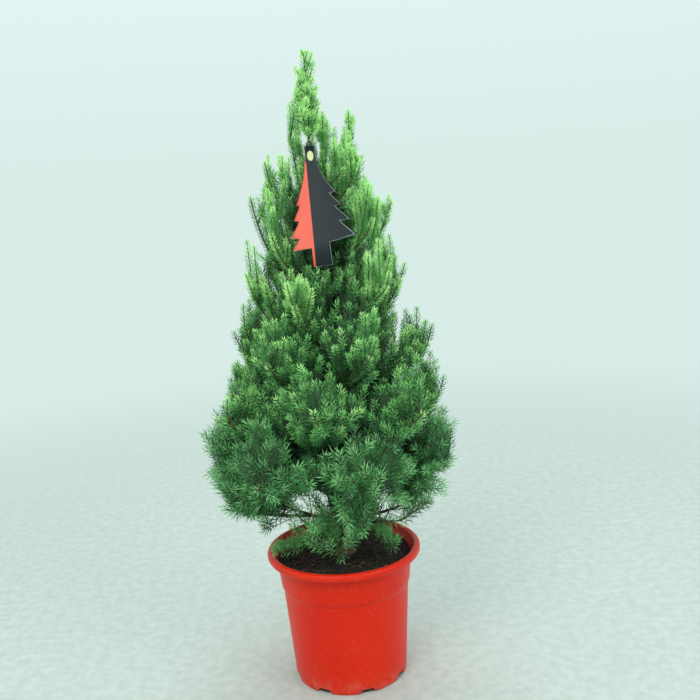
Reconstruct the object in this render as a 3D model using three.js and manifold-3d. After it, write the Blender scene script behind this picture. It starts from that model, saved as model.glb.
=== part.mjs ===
// A dwarf conical spruce in a round nursery pot, in millimetres, +Z up. It stands on the pot's flat
// underside, whose centre is the origin. Its front, where the care tag hangs, is -Y.
//
// The plant is a trunk, the boughs that leave it low down, and masses of needled sprays. A mass is one
// stem with sprays fused to it. Each spray is slim, with needles standing out of it. Dense masses have a
// small core. Every mass keeps to its own space: the points nearer to its own line than to any other's.

import * as THREE from 'three';
import { mergeVertices } from 'three/addons/utils/BufferGeometryUtils.js';
import Module from 'manifold-3d';

const wasm = await Module();
wasm.setup();

const UP = new THREE.Vector3(0, 0, 1);
const GAP = 0.3; // clearance between neighbouring solids
const GOLDEN_ANGLE = THREE.MathUtils.degToRad(137.508);
const ROOT_STEP = 0.382; // how far up a tier's spread the next root is, so that neighbours stay apart

// ---- Driving dimensions ----

const pot = {
  height: 205,
  rimRadius: 117,
  mouthRadius: 106.5,
  lipHeight: 12.5,
  shoulderRadius: 103.5, // under the lip
  stepHeight: 149, // where the wall steps in
  stepRadius: 98.5,
  stepDepth: 2,
  footRadius: 86,
  wall: 2.2,
  floor: 3,
  notches: 8, // drainage notches round the foot
  notchWidth: 21,
  notchHeight: 6,
  notchDepth: 9,
  firstNotch: 284.5, // degrees from +X
  footEdge: [2.5, 3.5], // how far in and how far up the edge of its foot is cut back
  lipEdge: 3, // how far its lip's corners are cut back
  segments: 32,
};

const soil = {
  depth: pot.height - 15,
  flatRadius: 30, // level ground round the stem
  roughness: 2.2,
  clearance: 1.5, // how far foliage stays above it, and where it must clear the pot's rim too
  besideWall: 6,
  topEdge: 3, // how far its top edge is cut back from the wall
  ledge: 2, // how far it keeps from the step in the wall
  segments: 24,
  rings: 4,
};

const trunk = {
  foot: soil.depth + GAP,
  top: 812,
  footRadius: 10.5,
  topRadius: 2.6,
  flare: 6.5, // how much the root flare adds to the radius
  flareHeight: 16,
  sway: [
    [2, 0, 0],
    [-14, 3, 0.2],
    [-15, -1, 0.55],
    [-10, 0, 1],
  ], // sideways offsets in X and Y, and the share of the height where they stand
  sides: 8,
  segments: 16,
  evenness: 1.6, // its rings lie closer together at the foot
};

const tag = {
  length: 178, // from the top of its neck to the foot of its stub
  thickness: 0.8,
  loopHeight: 804,
  loopBand: 9,
  loopSides: 14,
  loopPlay: 0.9, // between the loop and the bark
  loopToTag: 2.45, // from the bark to the top of the tag
  hangForward: 72, // how far in front of its top its foot hangs
  hangRight: 9,
  neckHalf: 7.3,
  neckFoot: 25, // distance from the top, as are the feet of the tiers
  right: {
    feet: [72, 92, 114, 137], inner: [8, 21.5, 27, 31.5], outer: [30.5, 36.5, 46.5, 52], stubTop: 145,
  },
  left: {
    feet: [87, 109, 134, 152], inner: [9.5, 23.5, 26.5, 28.5], outer: [28, 33.5, 40, 39.5], stubTop: 151,
  },
  underTier: 1.5, // from a tier's foot to the start of the next
  sweep: 1.6, // how hollow the first tier's side is: 1 is straight
  stubHalf: 13.3,
  clearHalf: 51, // no foliage comes in front of this half width of it
  clearBehind: 3, // foliage keeps this far behind it
  clearRound: 5,
};

// The crown's half width at each height, which no spray outgrows.
const crown = [
  [190, 120], [240, 136], [275, 178], [320, 194], [360, 205], [410, 205], [445, 188], [545, 168],
  [590, 140], [640, 126], [700, 112], [760, 106], [800, 86], [850, 60], [885, 40], [922, 26], [936, 18],
];

// The tiers of the crown, from the soil up. Turn (degrees from +X), reach and height place the furthest
// tip of each mass. A tier's roots are spread over rootSpread of the trunk above root. The line of a mass
// bends at bendOut of its reach and bendUp of its rise. With limbEnd, a bough makes that share of it.
const tiers = [
  {
    name: 'sprig', turn: [203, 266, 334], root: 215, rootSpread: 8,
    reach: [110, 64, 84], height: [217, 206, 205], bendOut: 0.6, bendUp: -2,
    sprays: 3, sprayLength: 42, lift: -0.2, needle: 12, core: 0,
  },
  {
    name: 'skirt', turn: [4, 58, 106, 164, 200, 256, 314], root: 236, rootSpread: 30, limbEnd: 0.4,
    reach: [165, 178, 176, 184, 186, 186, 158], height: [284, 304, 310, 304, 300, 304, 282],
    bendOut: 0.6, bendUp: 0.35,
    sprays: 5, sprayLength: 66, lift: 0.02, needle: 16, core: 15,
  },
  {
    name: 'lower', turn: [-4, 40, 88, 142, 183, 232, 286], root: 280, rootSpread: 34,
    reach: [186, 180, 188, 190, 202, 186, 194], height: [346, 372, 368, 366, 392, 352, 362],
    bendOut: 0.62, bendUp: 0.2,
    sprays: 6, sprayLength: 78, lift: 0.2, needle: 16, core: 20,
  },
  {
    name: 'middle', turn: [8, 66, 118, 160, 206, 262, 318], root: 340, rootSpread: 40,
    reach: [180, 172, 166, 170, 178, 164, 174], height: [446, 452, 462, 484, 440, 440, 444],
    bendOut: 0.66, bendUp: 0.15,
    sprays: 6, sprayLength: 82, lift: 0.5, needle: 16, core: 21,
  },
  {
    name: 'upper', turn: [-6, 50, 112, 176, 232, 292], root: 420, rootSpread: 44,
    reach: [162, 150, 150, 146, 146, 146], height: [540, 552, 556, 554, 524, 524],
    bendOut: 0.7, bendUp: 0.15,
    sprays: 6, sprayLength: 84, lift: 0.8, needle: 15, core: 21,
  },
  {
    name: 'shoulder', turn: [14, 74, 138, 190, 246, 316], root: 500, rootSpread: 60,
    reach: [128, 116, 112, 112, 110, 118], height: [640, 636, 640, 622, 592, 610],
    bendOut: 0.75, bendUp: 0.15,
    sprays: 5, sprayLength: 80, lift: 1.1, needle: 15, core: 17,
  },
  {
    name: 'crest', turn: [-6, 48, 110, 172, 220, 324], root: 584, rootSpread: 56,
    reach: [102, 92, 88, 102, 92, 88], height: [740, 752, 742, 744, 688, 700],
    bendOut: 0.8, bendUp: 0.16,
    sprays: 5, sprayLength: 76, lift: 1.4, needle: 14.5, core: 13,
  },
  {
    name: 'candle', turn: [12, 74, 150, 192, 328], root: 676, rootSpread: 60,
    reach: [54, 44, 42, 76, 66], height: [848, 836, 830, 790, 786],
    bendOut: 0.85, bendUp: 0.2,
    sprays: 5, sprayLength: 60, lift: 1.5, needle: 13, core: 9,
  },
  {
    name: 'leader', turn: [180], root: trunk.top, rootSpread: 0,
    reach: [9], height: [933], bendOut: 0.9, bendUp: 0.5,
    sprays: 9, sprayLength: 44, lift: 0.7, needle: 12, core: 6,
  },
];

const core = {
  from: 0.34, // shares of the line where it starts and ends
  to: 0.86,
  afterLimb: 0.06, // and how far past its bough it starts
  sides: 5,
  segments: 3,
  endShare: 0.4, // how thick its ends are beside its middle
  uneven: 0.2,
  clearance: 1.5, // how far it stays inside the mass's own space
};

const limb = {
  footRadius: 4.2,
  tipRadius: 2.8,
  stemTipRadius: 1.4,
  stemEnd: 0.76, // the share of its line that a mass's stem follows
  trunkShare: 0.6, // no stem is thicker than this share of the trunk it leaves
  sides: 5,
  stemSides: 3,
  segments: 3,
};

const spray = {
  coreShare: 0.26, // core radius as a share of the needles' reach
  forward: 0.8, // how far a needle's tip leans forward, as a share of its reach
  ringGap: 20,
  sides: 3,
  droop: 0.05, // how far its middle sags, as a share of its length
  firstRoot: 0.2, // shares of the line where the first and the last side spray leave it
  lastRoot: 0.68,
  afterLimb: 0.08,
  endRoot: 0.74, // where the spray that ends the line starts
  lean: 0.75, // a side spray's direction, shared out: along the line, up the side of it and across it
  rise: 0.75,
  spread: 0.95,
  shortest: 0.85, // its length as a share of the tier's, and what chance adds to that
  varies: 0.35,
  taper: 0.4, // how much thinner its core is at the tip
  fullest: 0.75, // the reach of its first needles, and what the last ones lack
  lastNeedles: 0.35,
  twist: 2.4, // how far the first side spray is turned from one mass to the next
  clearance: 0.5, // how clear of other pieces it stays
  lengths: [1, 0.85, 0.7, 0.55, 0.42], // the lengths that are tried until one fits
};

// ---- Helpers ----

// A repeatable number from 0 to 1 for each mass, spray and use.
function chance(mass, item, use) {
  const wave = Math.sin(mass * 12.9898 + item * 78.233 + use * 37.719) * 43758.5453;
  return wave - Math.floor(wave);
}

function solidFrom(geometry) {
  geometry.deleteAttribute('normal');
  geometry.deleteAttribute('uv');
  const merged = mergeVertices(geometry, 1e-3);
  return new wasm.Manifold(new wasm.Mesh({
    numProp: 3,
    vertProperties: merged.attributes.position.array,
    triVerts: new Uint32Array(merged.index.array),
  }));
}

function geometryFrom(solid) {
  const mesh = solid.getMesh();
  const geometry = new THREE.BufferGeometry();
  geometry.setAttribute('position', new THREE.BufferAttribute(mesh.vertProperties.slice(), 3));
  geometry.setIndex(new THREE.BufferAttribute(mesh.triVerts.slice(), 1));
  return geometry;
}

// The largest body of a solid: what a cut leaves loose is dropped.
function mainBody(solid) {
  return solid.decompose().reduce((a, b) => (b.volume() > a.volume() ? b : a));
}

// A closed skin over rings of points, from a foot point to a tip point. Every quad is split between its
// two corners of odd parity, so that points of even parity can stand out of it as four-sided spikes.
function skin(rings, foot, tip) {
  const count = rings[0].length;
  const points = [foot, ...rings.flat(), tip];
  const last = points.length - 1;
  const at = (k, j) => 1 + k * count + (j % count);
  const index = [];
  for (let j = 0; j < count; j += 1) {
    index.push(0, at(0, j + 1), at(0, j));
    index.push(last, at(rings.length - 1, j), at(rings.length - 1, j + 1));
    for (let k = 0; k < rings.length - 1; k += 1) {
      const corners = [at(k, j), at(k, j + 1), at(k + 1, j + 1), at(k + 1, j)];
      const [a, b, c, d] = (k + j) % 2 ? corners : [...corners.slice(1), corners[0]];
      index.push(a, b, c, a, c, d);
    }
  }
  const geometry = new THREE.BufferGeometry().setFromPoints(points);
  geometry.setIndex(index);
  return geometry;
}

// Rings of points round a curve. place(share, ring, step) gives how far out and how far forward each is.
function ringsAlong(curve, segments, sides, place) {
  const frames = curve.computeFrenetFrames(segments);
  return Array.from({ length: segments + 1 }, (_, k) => {
    const centre = curve.getPointAt(k / segments);
    return Array.from({ length: sides }, (_unused, j) => {
      const angle = (2 * Math.PI * j) / sides;
      const [out, push] = place(k / segments, k, j);
      return centre.clone()
        .addScaledVector(frames.normals[k], out * Math.cos(angle))
        .addScaledVector(frames.binormals[k], out * Math.sin(angle))
        .addScaledVector(frames.tangents[k], push);
    });
  });
}

// A tapering limb along a curve, with flat ends.
function limbSolid(curve, radiusAt, segments, sides) {
  const rings = ringsAlong(curve, segments, sides, (share) => [radiusAt(share), 0]);
  return solidFrom(skin(rings, curve.getPointAt(0), curve.getPointAt(1)));
}

// ---- Pot and soil ----

function wallRadius(z) {
  if (z < pot.stepHeight) {
    return THREE.MathUtils.mapLinear(z, 0, pot.stepHeight, pot.footRadius, pot.stepRadius - pot.stepDepth);
  }
  const underLip = pot.height - pot.lipHeight;
  return THREE.MathUtils.mapLinear(z, pot.stepHeight, underLip, pot.stepRadius, pot.shoulderRadius);
}

function potSolid() {
  const { height, rimRadius, mouthRadius, lipHeight, lipEdge } = pot;
  const { wall, floor, stepHeight, stepDepth, footRadius } = pot;
  const underLip = height - lipHeight;
  const underStep = stepHeight - stepDepth;
  const inner = (z) => wallRadius(z) - wall;
  const profile = [
    [0, 0],
    [footRadius - pot.footEdge[0], 0],
    [footRadius, pot.footEdge[1]],
    [wallRadius(underStep), underStep],
    [wallRadius(stepHeight), stepHeight],
    [wallRadius(underLip), underLip],
    [rimRadius - lipEdge / 2, underLip],
    [rimRadius, underLip + lipEdge],
    [rimRadius, height - lipEdge],
    [rimRadius - lipEdge, height - lipEdge / 4],
    [(rimRadius + mouthRadius) / 2, height],
    [mouthRadius + lipEdge / 4, height - lipEdge / 2],
    [mouthRadius - lipEdge / 2, height - 2 * lipEdge],
    [inner(underLip - wall), underLip - wall],
    [inner(stepHeight), stepHeight],
    [inner(underStep), underStep - wall],
    [inner(floor), floor],
    [0, floor],
  ];
  const outline = profile.map(([r, z]) => new THREE.Vector2(r, z));
  let solid = solidFrom(new THREE.LatheGeometry(outline, pot.segments).rotateX(Math.PI / 2));
  for (let i = 0; i < pot.notches; i += 1) {
    const cut = new THREE.BoxGeometry(pot.notchDepth * 2, pot.notchWidth, pot.notchHeight * 2)
      .translate(footRadius, 0, 0)
      .rotateZ(THREE.MathUtils.degToRad(pot.firstNotch) + (2 * Math.PI * i) / pot.notches);
    solid = solid.subtract(solidFrom(cut));
  }
  return solid;
}

function soilSolid() {
  const { depth, flatRadius, rings, segments, roughness, topEdge, ledge } = soil;
  const foot = pot.floor + GAP;
  const underStep = pot.stepHeight - pot.stepDepth - ledge;
  const radiusAt = (z) => (wallRadius(z) - pot.wall) * Math.cos(Math.PI / pot.segments) - GAP;
  const around = (radius, z, rough) => Array.from({ length: segments }, (_, j) => {
    const angle = (2 * Math.PI * j) / segments;
    const bump = rough ? (chance(0, j, z + radius) - 0.5) * 2 * roughness : 0;
    return new THREE.Vector3(radius * Math.cos(angle), radius * Math.sin(angle), z + bump);
  });
  const wallRings = [
    around(radiusAt(foot), foot),
    around(radiusAt(underStep), underStep),
    around(radiusAt(underStep), pot.stepHeight + ledge / 2),
    around(radiusAt(depth - topEdge), depth - topEdge / 2),
  ];
  const topRings = Array.from({ length: rings }, (_, k) => {
    const radius = THREE.MathUtils.lerp(radiusAt(depth - topEdge) - topEdge, flatRadius, k / (rings - 1));
    return around(radius, depth, k < rings - 1);
  });
  const [under, top] = [new THREE.Vector3(0, 0, foot), new THREE.Vector3(0, 0, depth)];
  return solidFrom(skin([...wallRings, ...topRings], under, top));
}

// ---- Trunk ----

const trunkCurve = new THREE.CatmullRomCurve3(trunk.sway.map(([x, y, share]) => (
  new THREE.Vector3(x, y, THREE.MathUtils.lerp(trunk.foot, trunk.top, share)))));

function trunkRadius(z) {
  const share = (z - trunk.foot) / (trunk.top - trunk.foot);
  const taper = THREE.MathUtils.lerp(trunk.footRadius, trunk.topRadius, share ** 0.8);
  return taper + trunk.flare * Math.exp(-(z - trunk.foot) / trunk.flareHeight);
}

// The trunk's centre at a height, found by halving because the curve isn't even in height.
function trunkCentre(z) {
  let [low, high] = [0, 1];
  for (let i = 0; i < 24; i += 1) {
    const middle = (low + high) / 2;
    if (trunkCurve.getPoint(middle).z < z) low = middle;
    else high = middle;
  }
  return trunkCurve.getPoint(low);
}

// The trunk's rings lie level, so that its foot and its tip are flat cuts. Extra makes it fatter, to cut
// what meets it.
function trunkSolid(extra = 0) {
  const { segments, sides, foot, top, evenness } = trunk;
  const rings = Array.from({ length: segments + 1 }, (_, k) => {
    const z = THREE.MathUtils.lerp(foot - extra, top + extra, (k / segments) ** evenness);
    const centre = trunkCentre(THREE.MathUtils.clamp(z, foot, top));
    const radius = trunkRadius(Math.max(z, foot)) + extra;
    return Array.from({ length: sides }, (_unused, j) => {
      const angle = (2 * Math.PI * j) / sides;
      return new THREE.Vector3(centre.x + radius * Math.cos(angle), centre.y + radius * Math.sin(angle), z);
    });
  });
  const end = (z) => {
    const centre = trunkCentre(THREE.MathUtils.clamp(z, foot, top));
    return new THREE.Vector3(centre.x, centre.y, z);
  };
  return solidFrom(skin(rings, end(foot - extra), end(top + extra)));
}

// ---- Where every mass grows ----

// The line of one mass: it leaves the trunk, bends outwards, and rises to its furthest tip.
function growthLine(tier, i) {
  const { turn, reach, height, root, rootSpread, bendOut, bendUp } = tier;
  const angle = THREE.MathUtils.degToRad(turn[i]);
  const outward = new THREE.Vector3(Math.cos(angle), Math.sin(angle), 0);
  const foot = trunkCentre(Math.min(root + rootSpread * ((ROOT_STEP * i) % 1), trunk.top));
  if (root === trunk.top) foot.z += GAP;
  const tip = outward.clone().multiplyScalar(reach[i]).setZ(height[i]);
  const bend = foot.clone().lerp(tip, bendOut).setZ(THREE.MathUtils.lerp(foot.z, tip.z, bendUp));
  return new THREE.QuadraticBezierCurve3(foot, bend, tip);
}

const masses = [];
for (const tier of tiers) {
  tier.reach.forEach((_, i) => {
    const serial = masses.length + 1;
    const line = growthLine(tier, i);
    const samples = line.getSpacedPoints(10);
    masses.push({ name: `${tier.name}_mass_${i + 1}`, tier, i, serial, line, samples });
  });
}

function distanceToLine(point, samples) {
  const nearest = new THREE.Vector3();
  let least = Infinity;
  for (let k = 0; k < samples.length - 1; k += 1) {
    new THREE.Line3(samples[k], samples[k + 1]).closestPointToPoint(point, true, nearest);
    least = Math.min(least, nearest.distanceTo(point));
  }
  return least;
}

// ---- Care tag ----

// The tag's own frame: its top is on the front of the loop, its length runs down, its face looks forward.
function tagFrame() {
  const centre = trunkCentre(tag.loopHeight);
  const top = centre.clone().setY(centre.y - trunkRadius(tag.loopHeight) - tag.loopToTag);
  const down = new THREE.Vector3(tag.hangRight, -tag.hangForward, -1);
  down.z = -Math.sqrt(tag.length ** 2 - tag.hangForward ** 2 - tag.hangRight ** 2);
  down.normalize();
  const across = new THREE.Vector3(1, 0, 0).addScaledVector(down, -down.x).normalize();
  const face = new THREE.Vector3().crossVectors(across, down.clone().negate());
  return new THREE.Matrix4().makeBasis(across, down.clone().negate(), face).setPosition(top);
}

const tagMatrix = tagFrame();
const tagInverse = tagMatrix.clone().invert();

// One side of the tag from its neck down, as half widths and distances from the top.
function tagSide({ feet, inner, outer, stubTop }) {
  const side = [[tag.neckHalf, GAP]];
  feet.forEach((foot, k) => {
    const top = k ? feet[k - 1] + tag.underTier : tag.neckFoot;
    side.push([inner[k], top]);
    if (k === 0) {
      const hollow = THREE.MathUtils.lerp(inner[k], outer[k], 0.5 ** tag.sweep);
      side.push([hollow, (top + foot) / 2]);
    }
    side.push([outer[k], foot]);
  });
  return [...side, [tag.stubHalf, stubTop], [tag.stubHalf, tag.length]];
}

// A conifer outline of stepped tiers on a short stub, with a narrow neck that runs up to the loop. Its
// left tiers are narrower and hang lower than its right ones.
function tagSolid() {
  const right = tagSide(tag.right).map(([half, down]) => [half, -down]);
  const left = tagSide(tag.left).map(([half, down]) => [-half, -down]).reverse();
  const outline = new THREE.Shape([...left, ...right].map(([x, y]) => new THREE.Vector2(x, y)));
  const card = new THREE.ExtrudeGeometry(outline, { depth: tag.thickness, bevelEnabled: false });
  return solidFrom(card.translate(0, 0, -tag.thickness / 2).applyMatrix4(tagMatrix));
}

// The band that locks the tag round the trunk: an upright oval ring just clear of the bark.
function loopSolid() {
  const centre = trunkCentre(tag.loopHeight);
  const inner = trunkRadius(tag.loopHeight - tag.loopBand / 2) + tag.loopPlay;
  const outer = inner + tag.thickness;
  const [low, high] = [-tag.loopBand / 2, tag.loopBand / 2];
  const profile = [[inner, low], [outer, low], [outer, high], [inner, high], [inner, low]];
  const outline = profile.map(([r, z]) => new THREE.Vector2(r, z));
  const ring = new THREE.LatheGeometry(outline, tag.loopSides).rotateX(Math.PI / 2);
  return solidFrom(ring.translate(centre.x, centre.y, tag.loopHeight));
}

// ---- What has grown so far ----

// Every piece with its owner and the box round it, so that what grows later keeps clear of it.
const grown = [];

function grow(owner, solid) {
  grown.push({ owner, solid, box: solid.boundingBox() });
}

function boxesMeet(a, b) {
  return [0, 1, 2].every((axis) => a.min[axis] < b.max[axis] && b.min[axis] < a.max[axis]);
}

function isFree(owner, solid) {
  const box = solid.boundingBox();
  return grown.every((piece) => piece.owner === owner || !boxesMeet(box, piece.box)
    || solid.intersect(piece.solid).isEmpty());
}

// ---- Foliage ----

function crownRadius(z) {
  const k = THREE.MathUtils.clamp(crown.findIndex(([height]) => height > z), 1, crown.length - 1);
  const [[lowZ, lowRadius], [highZ, highRadius]] = [crown[k - 1], crown[k]];
  return THREE.MathUtils.mapLinear(z, lowZ, highZ, lowRadius, highRadius);
}

// Whether a point may hold foliage of a mass: inside the crown, nearer to its own line than to another's,
// above the soil and the pot's rim, and not in front of the care tag.
function isClear(point, mass) {
  const fromAxis = Math.hypot(point.x, point.y);
  if (fromAxis > crownRadius(point.z) || point.z > crown[crown.length - 1][0]) return false;
  const ground = fromAxis > pot.mouthRadius - soil.besideWall ? pot.height : soil.depth + soil.roughness;
  if (point.z < ground + soil.clearance) return false;
  const onTag = point.clone().applyMatrix4(tagInverse);
  const overTag = Math.abs(onTag.x) < tag.clearHalf && onTag.y < tag.clearRound && onTag.y > -tag.length;
  if (overTag && onTag.z > -tag.clearBehind) return false;
  const own = distanceToLine(point, mass.samples);
  return masses.every((other) => other === mass || distanceToLine(point, other.samples) > own);
}

// A spray: a slim core whose even points stand out as needles, leaning towards its tip. Extra makes it
// fatter.
function spraySolid(root, tip, needle, extra = 0) {
  const length = root.distanceTo(tip);
  const bow = root.clone().lerp(tip, 0.5).addScaledVector(UP, -length * spray.droop);
  const curve = new THREE.QuadraticBezierCurve3(root, bow, root.clone().lerp(tip, 1 - needle / length));
  const segments = Math.max(2, Math.round(curve.getLength() / spray.ringGap));
  const rings = ringsAlong(curve, segments, spray.sides, (share, k, j) => {
    if (k === 0 || (k + j) % 2) return [needle * spray.coreShare * (1 - spray.taper * share) + extra, 0];
    const full = Math.min(1, spray.fullest + share) * (1 - spray.lastNeedles * share ** 3);
    return [needle * full + extra, needle * spray.forward];
  });
  return solidFrom(skin(rings, root, tip));
}

// The roots and tips of a mass's sprays. The first one ends the mass's own line.
function sprayAxes({ tier, line, serial }) {
  const from = Math.max(spray.firstRoot, (tier.limbEnd ?? 0) + spray.afterLimb);
  const axes = [{ root: line.getPoint(spray.endRoot), tip: line.getPoint(1) }];
  for (let i = 0; i < tier.sprays - 1; i += 1) {
    const share = THREE.MathUtils.lerp(spray.lastRoot, from, i / (tier.sprays - 2));
    const root = line.getPoint(share);
    const tangent = line.getTangent(share);
    const roundTrunk = new THREE.Vector3(-root.y, root.x, 0);
    const side = new THREE.Vector3().crossVectors(tangent, roundTrunk).normalize();
    const across = new THREE.Vector3().crossVectors(side, tangent);
    const angle = i * GOLDEN_ANGLE + serial * spray.twist;
    const direction = tangent.clone().multiplyScalar(spray.lean)
      .addScaledVector(side, Math.cos(angle) * spray.rise)
      .addScaledVector(across, Math.sin(angle) * spray.spread)
      .addScaledVector(UP, tier.lift)
      .normalize();
    const length = tier.sprayLength * (spray.shortest + spray.varies * chance(serial, i, 3));
    axes.push({ root, tip: root.clone().addScaledVector(direction, length) });
  }
  return axes;
}

// The longest version of a spray that has room, or null if even a short one has none.
function fittedSpray({ root, tip }, mass) {
  const { needle } = mass.tier;
  for (const share of spray.lengths) {
    const end = root.clone().lerp(tip, share);
    const solid = spraySolid(root, end, needle);
    const far = solid.getMesh().vertProperties;
    let clear = true;
    for (let k = 0; k < far.length && clear; k += 3) {
      const point = new THREE.Vector3().fromArray(far, k);
      clear = point.distanceTo(root) < needle || isClear(point, mass);
    }
    if (clear && isFree(mass.name, spraySolid(root, end, needle, spray.clearance))) return solid;
  }
  return null;
}

// ---- Limbs and stems ----

const fatTrunk = trunkSolid(GAP);

// The core of a dense mass: an uneven spindle round its line, and no wider than the mass's own space.
function coreSolid({ name, tier, line, serial }) {
  const curve = lineBetween(line, Math.max(core.from, (tier.limbEnd ?? 0) + core.afterLimb), core.to);
  const rings = ringsAlong(curve, core.segments, core.sides, (share, k, j) => {
    const middle = curve.getPointAt(share);
    const others = masses.filter((other) => other.name !== name);
    const nearest = Math.min(...others.map((other) => distanceToLine(middle, other.samples)));
    const room = nearest / 2 - core.clearance;
    const full = Math.max(limb.tipRadius + 1, Math.min(tier.core, room));
    const swell = THREE.MathUtils.lerp(core.endShare, 1, Math.sin(Math.PI * share));
    return [full * swell * (1 - core.uneven * chance(serial, k * core.sides + j, 4)), 0];
  });
  return mainBody(solidFrom(skin(rings, curve.getPointAt(0), curve.getPointAt(1))).subtract(fatTrunk));
}

// The part of a mass's line from one share to another, as a curve of its own.
function lineBetween(line, from, to) {
  const shares = [0, 0.25, 0.5, 0.75, 1].map((share) => THREE.MathUtils.lerp(from, to, share));
  return new THREE.CatmullRomCurve3(shares.map((share) => line.getPoint(share)));
}

function boughSolid({ line, tier }) {
  const radiusAt = (share) => THREE.MathUtils.lerp(limb.footRadius, limb.tipRadius, share);
  const bough = limbSolid(lineBetween(line, 0, tier.limbEnd), radiusAt, limb.segments, limb.sides);
  return mainBody(bough.subtract(fatTrunk));
}

function stemSolid({ line, tier }) {
  const start = tier.limbEnd ? tier.limbEnd + GAP / line.getLength() : 0;
  const foot = Math.min(limb.tipRadius, trunkRadius(tier.root) * limb.trunkShare);
  const radiusAt = (share) => THREE.MathUtils.lerp(foot, limb.stemTipRadius, share);
  const stem = limbSolid(lineBetween(line, start, limb.stemEnd), radiusAt, limb.segments, limb.stemSides);
  return mainBody(stem.subtract(fatTrunk));
}

// ---- Assembly ----

const finishes = {
  pot: new THREE.MeshStandardMaterial({ color: 0xd23a1c, roughness: 0.45, metalness: 0 }),
  soil: new THREE.MeshStandardMaterial({ color: 0x241d16, roughness: 1, metalness: 0 }),
  bark: new THREE.MeshStandardMaterial({ color: 0x5a4534, roughness: 0.9, metalness: 0 }),
  oldNeedles: new THREE.MeshStandardMaterial({ color: 0x2f5f35, roughness: 0.6, metalness: 0 }),
  newNeedles: new THREE.MeshStandardMaterial({ color: 0x5d9a45, roughness: 0.6, metalness: 0 }),
  tag: new THREE.MeshStandardMaterial({ color: 0x3a4548, roughness: 0.5, metalness: 0 }),
};

const plant = new THREE.Group();

function place(name, solid, finish) {
  const mesh = new THREE.Mesh(geometryFrom(solid), finish);
  mesh.name = name;
  plant.add(mesh);
}

function placeGrown(name, solid, finish) {
  grow(name, solid);
  place(name, solid, finish);
}

placeGrown('pot', potSolid(), finishes.pot);
placeGrown('soil', soilSolid(), finishes.soil);
placeGrown('trunk', trunkSolid(), finishes.bark);
placeGrown('tag_loop', loopSolid(), finishes.tag);
placeGrown('care_tag', tagSolid(), finishes.tag);
for (const mass of masses) {
  if (mass.tier.limbEnd) {
    placeGrown(`${mass.tier.name}_bough_${mass.i + 1}`, boughSolid(mass), finishes.bark);
  }
  mass.pieces = [stemSolid(mass)];
  grow(mass.name, mass.pieces[0]);
}
for (const mass of masses.filter(({ tier }) => tier.core)) {
  const piece = coreSolid(mass);
  if (isFree(mass.name, piece)) {
    mass.pieces.push(piece);
    grow(mass.name, piece);
  }
}
for (const mass of masses) {
  for (const axis of sprayAxes(mass)) {
    const piece = fittedSpray(axis, mass);
    if (piece) {
      mass.pieces.push(piece);
      grow(mass.name, piece);
    }
  }
}
for (const mass of masses) {
  const young = ['crest', 'candle', 'leader'].includes(mass.tier.name);
  const whole = mass.pieces.reduce((a, b) => a.add(b));
  place(mass.name, mainBody(whole), young ? finishes.newNeedles : finishes.oldNeedles);
}

export default plant;
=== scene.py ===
"""A dwarf conical spruce in a round nursery pot, in metres, +Z up, on the origin. Its front is -Y."""

import itertools
import math

import bpy
import numpy as np
from mathutils import Matrix, Vector


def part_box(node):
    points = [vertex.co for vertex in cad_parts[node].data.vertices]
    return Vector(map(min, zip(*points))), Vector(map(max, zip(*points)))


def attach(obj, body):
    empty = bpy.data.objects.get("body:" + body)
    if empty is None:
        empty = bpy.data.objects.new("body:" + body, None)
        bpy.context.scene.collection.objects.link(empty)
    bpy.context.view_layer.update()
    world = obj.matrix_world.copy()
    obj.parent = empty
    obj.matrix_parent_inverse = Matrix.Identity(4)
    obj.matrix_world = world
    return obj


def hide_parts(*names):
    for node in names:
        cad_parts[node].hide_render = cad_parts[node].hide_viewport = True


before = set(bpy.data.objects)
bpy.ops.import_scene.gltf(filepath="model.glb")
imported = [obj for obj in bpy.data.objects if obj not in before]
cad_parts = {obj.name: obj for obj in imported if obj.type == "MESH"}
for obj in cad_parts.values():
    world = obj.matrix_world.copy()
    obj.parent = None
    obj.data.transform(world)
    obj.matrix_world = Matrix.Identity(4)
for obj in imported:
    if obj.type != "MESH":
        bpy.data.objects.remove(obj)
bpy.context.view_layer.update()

# ---- Pot ----
# An injection-moulded nursery pot of orange-red plastic. A rolled lip stiffens its mouth, the wall steps in
# below the shoulder so that pots stack, and arched notches round the foot let water out.

pot_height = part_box("pot")[1].z
rim_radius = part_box("pot")[1].x
wall = 0.0022
floor_thickness = 0.003
foot_radius = 0.086
foot_roll = 0.0028  # the radius of the foot's outer edge
base_rise = 0.0012  # how far the middle of the underside stands off the ground
axis_gap = 0.004  # the radius of the small fans that close the floor at its middle
step_height = 0.149
step_depth = 0.002
step_radius = 0.0985
shoulder_radius = 0.1035
lip_height = 0.0125
lip_roll = 0.0052  # the lip's own radius, seen in a cut through it
foot_notches = 8
notch_half_angle = math.radians(7.2)
notch_height = 0.0062
notch_fade = 0.022  # how far up the wall the arch over a notch dies out
notch_root = 0.066  # how near the middle a notch begins, and over what distance
notch_run_in = 0.008
first_notch = math.radians(284.5)
pot_sides = 192


def arc(centre, radius, start, end, count):
    """Points (r, z) on a round stretch of a profile, from one angle in degrees to another."""
    angle = np.radians(np.linspace(start, end, count))
    return list(zip(centre[0] + radius * np.cos(angle), centre[1] + radius * np.sin(angle)))


def wall_radius(z):
    """The pot's outer radius: straight from the foot to the step, and from the step to the shoulder."""
    below = np.interp(z, [0, step_height], [foot_radius, step_radius - step_depth])
    above = np.interp(z, [step_height, pot_height - lip_height], [step_radius, shoulder_radius])
    return np.where(np.asarray(z) < step_height, below, above)


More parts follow.
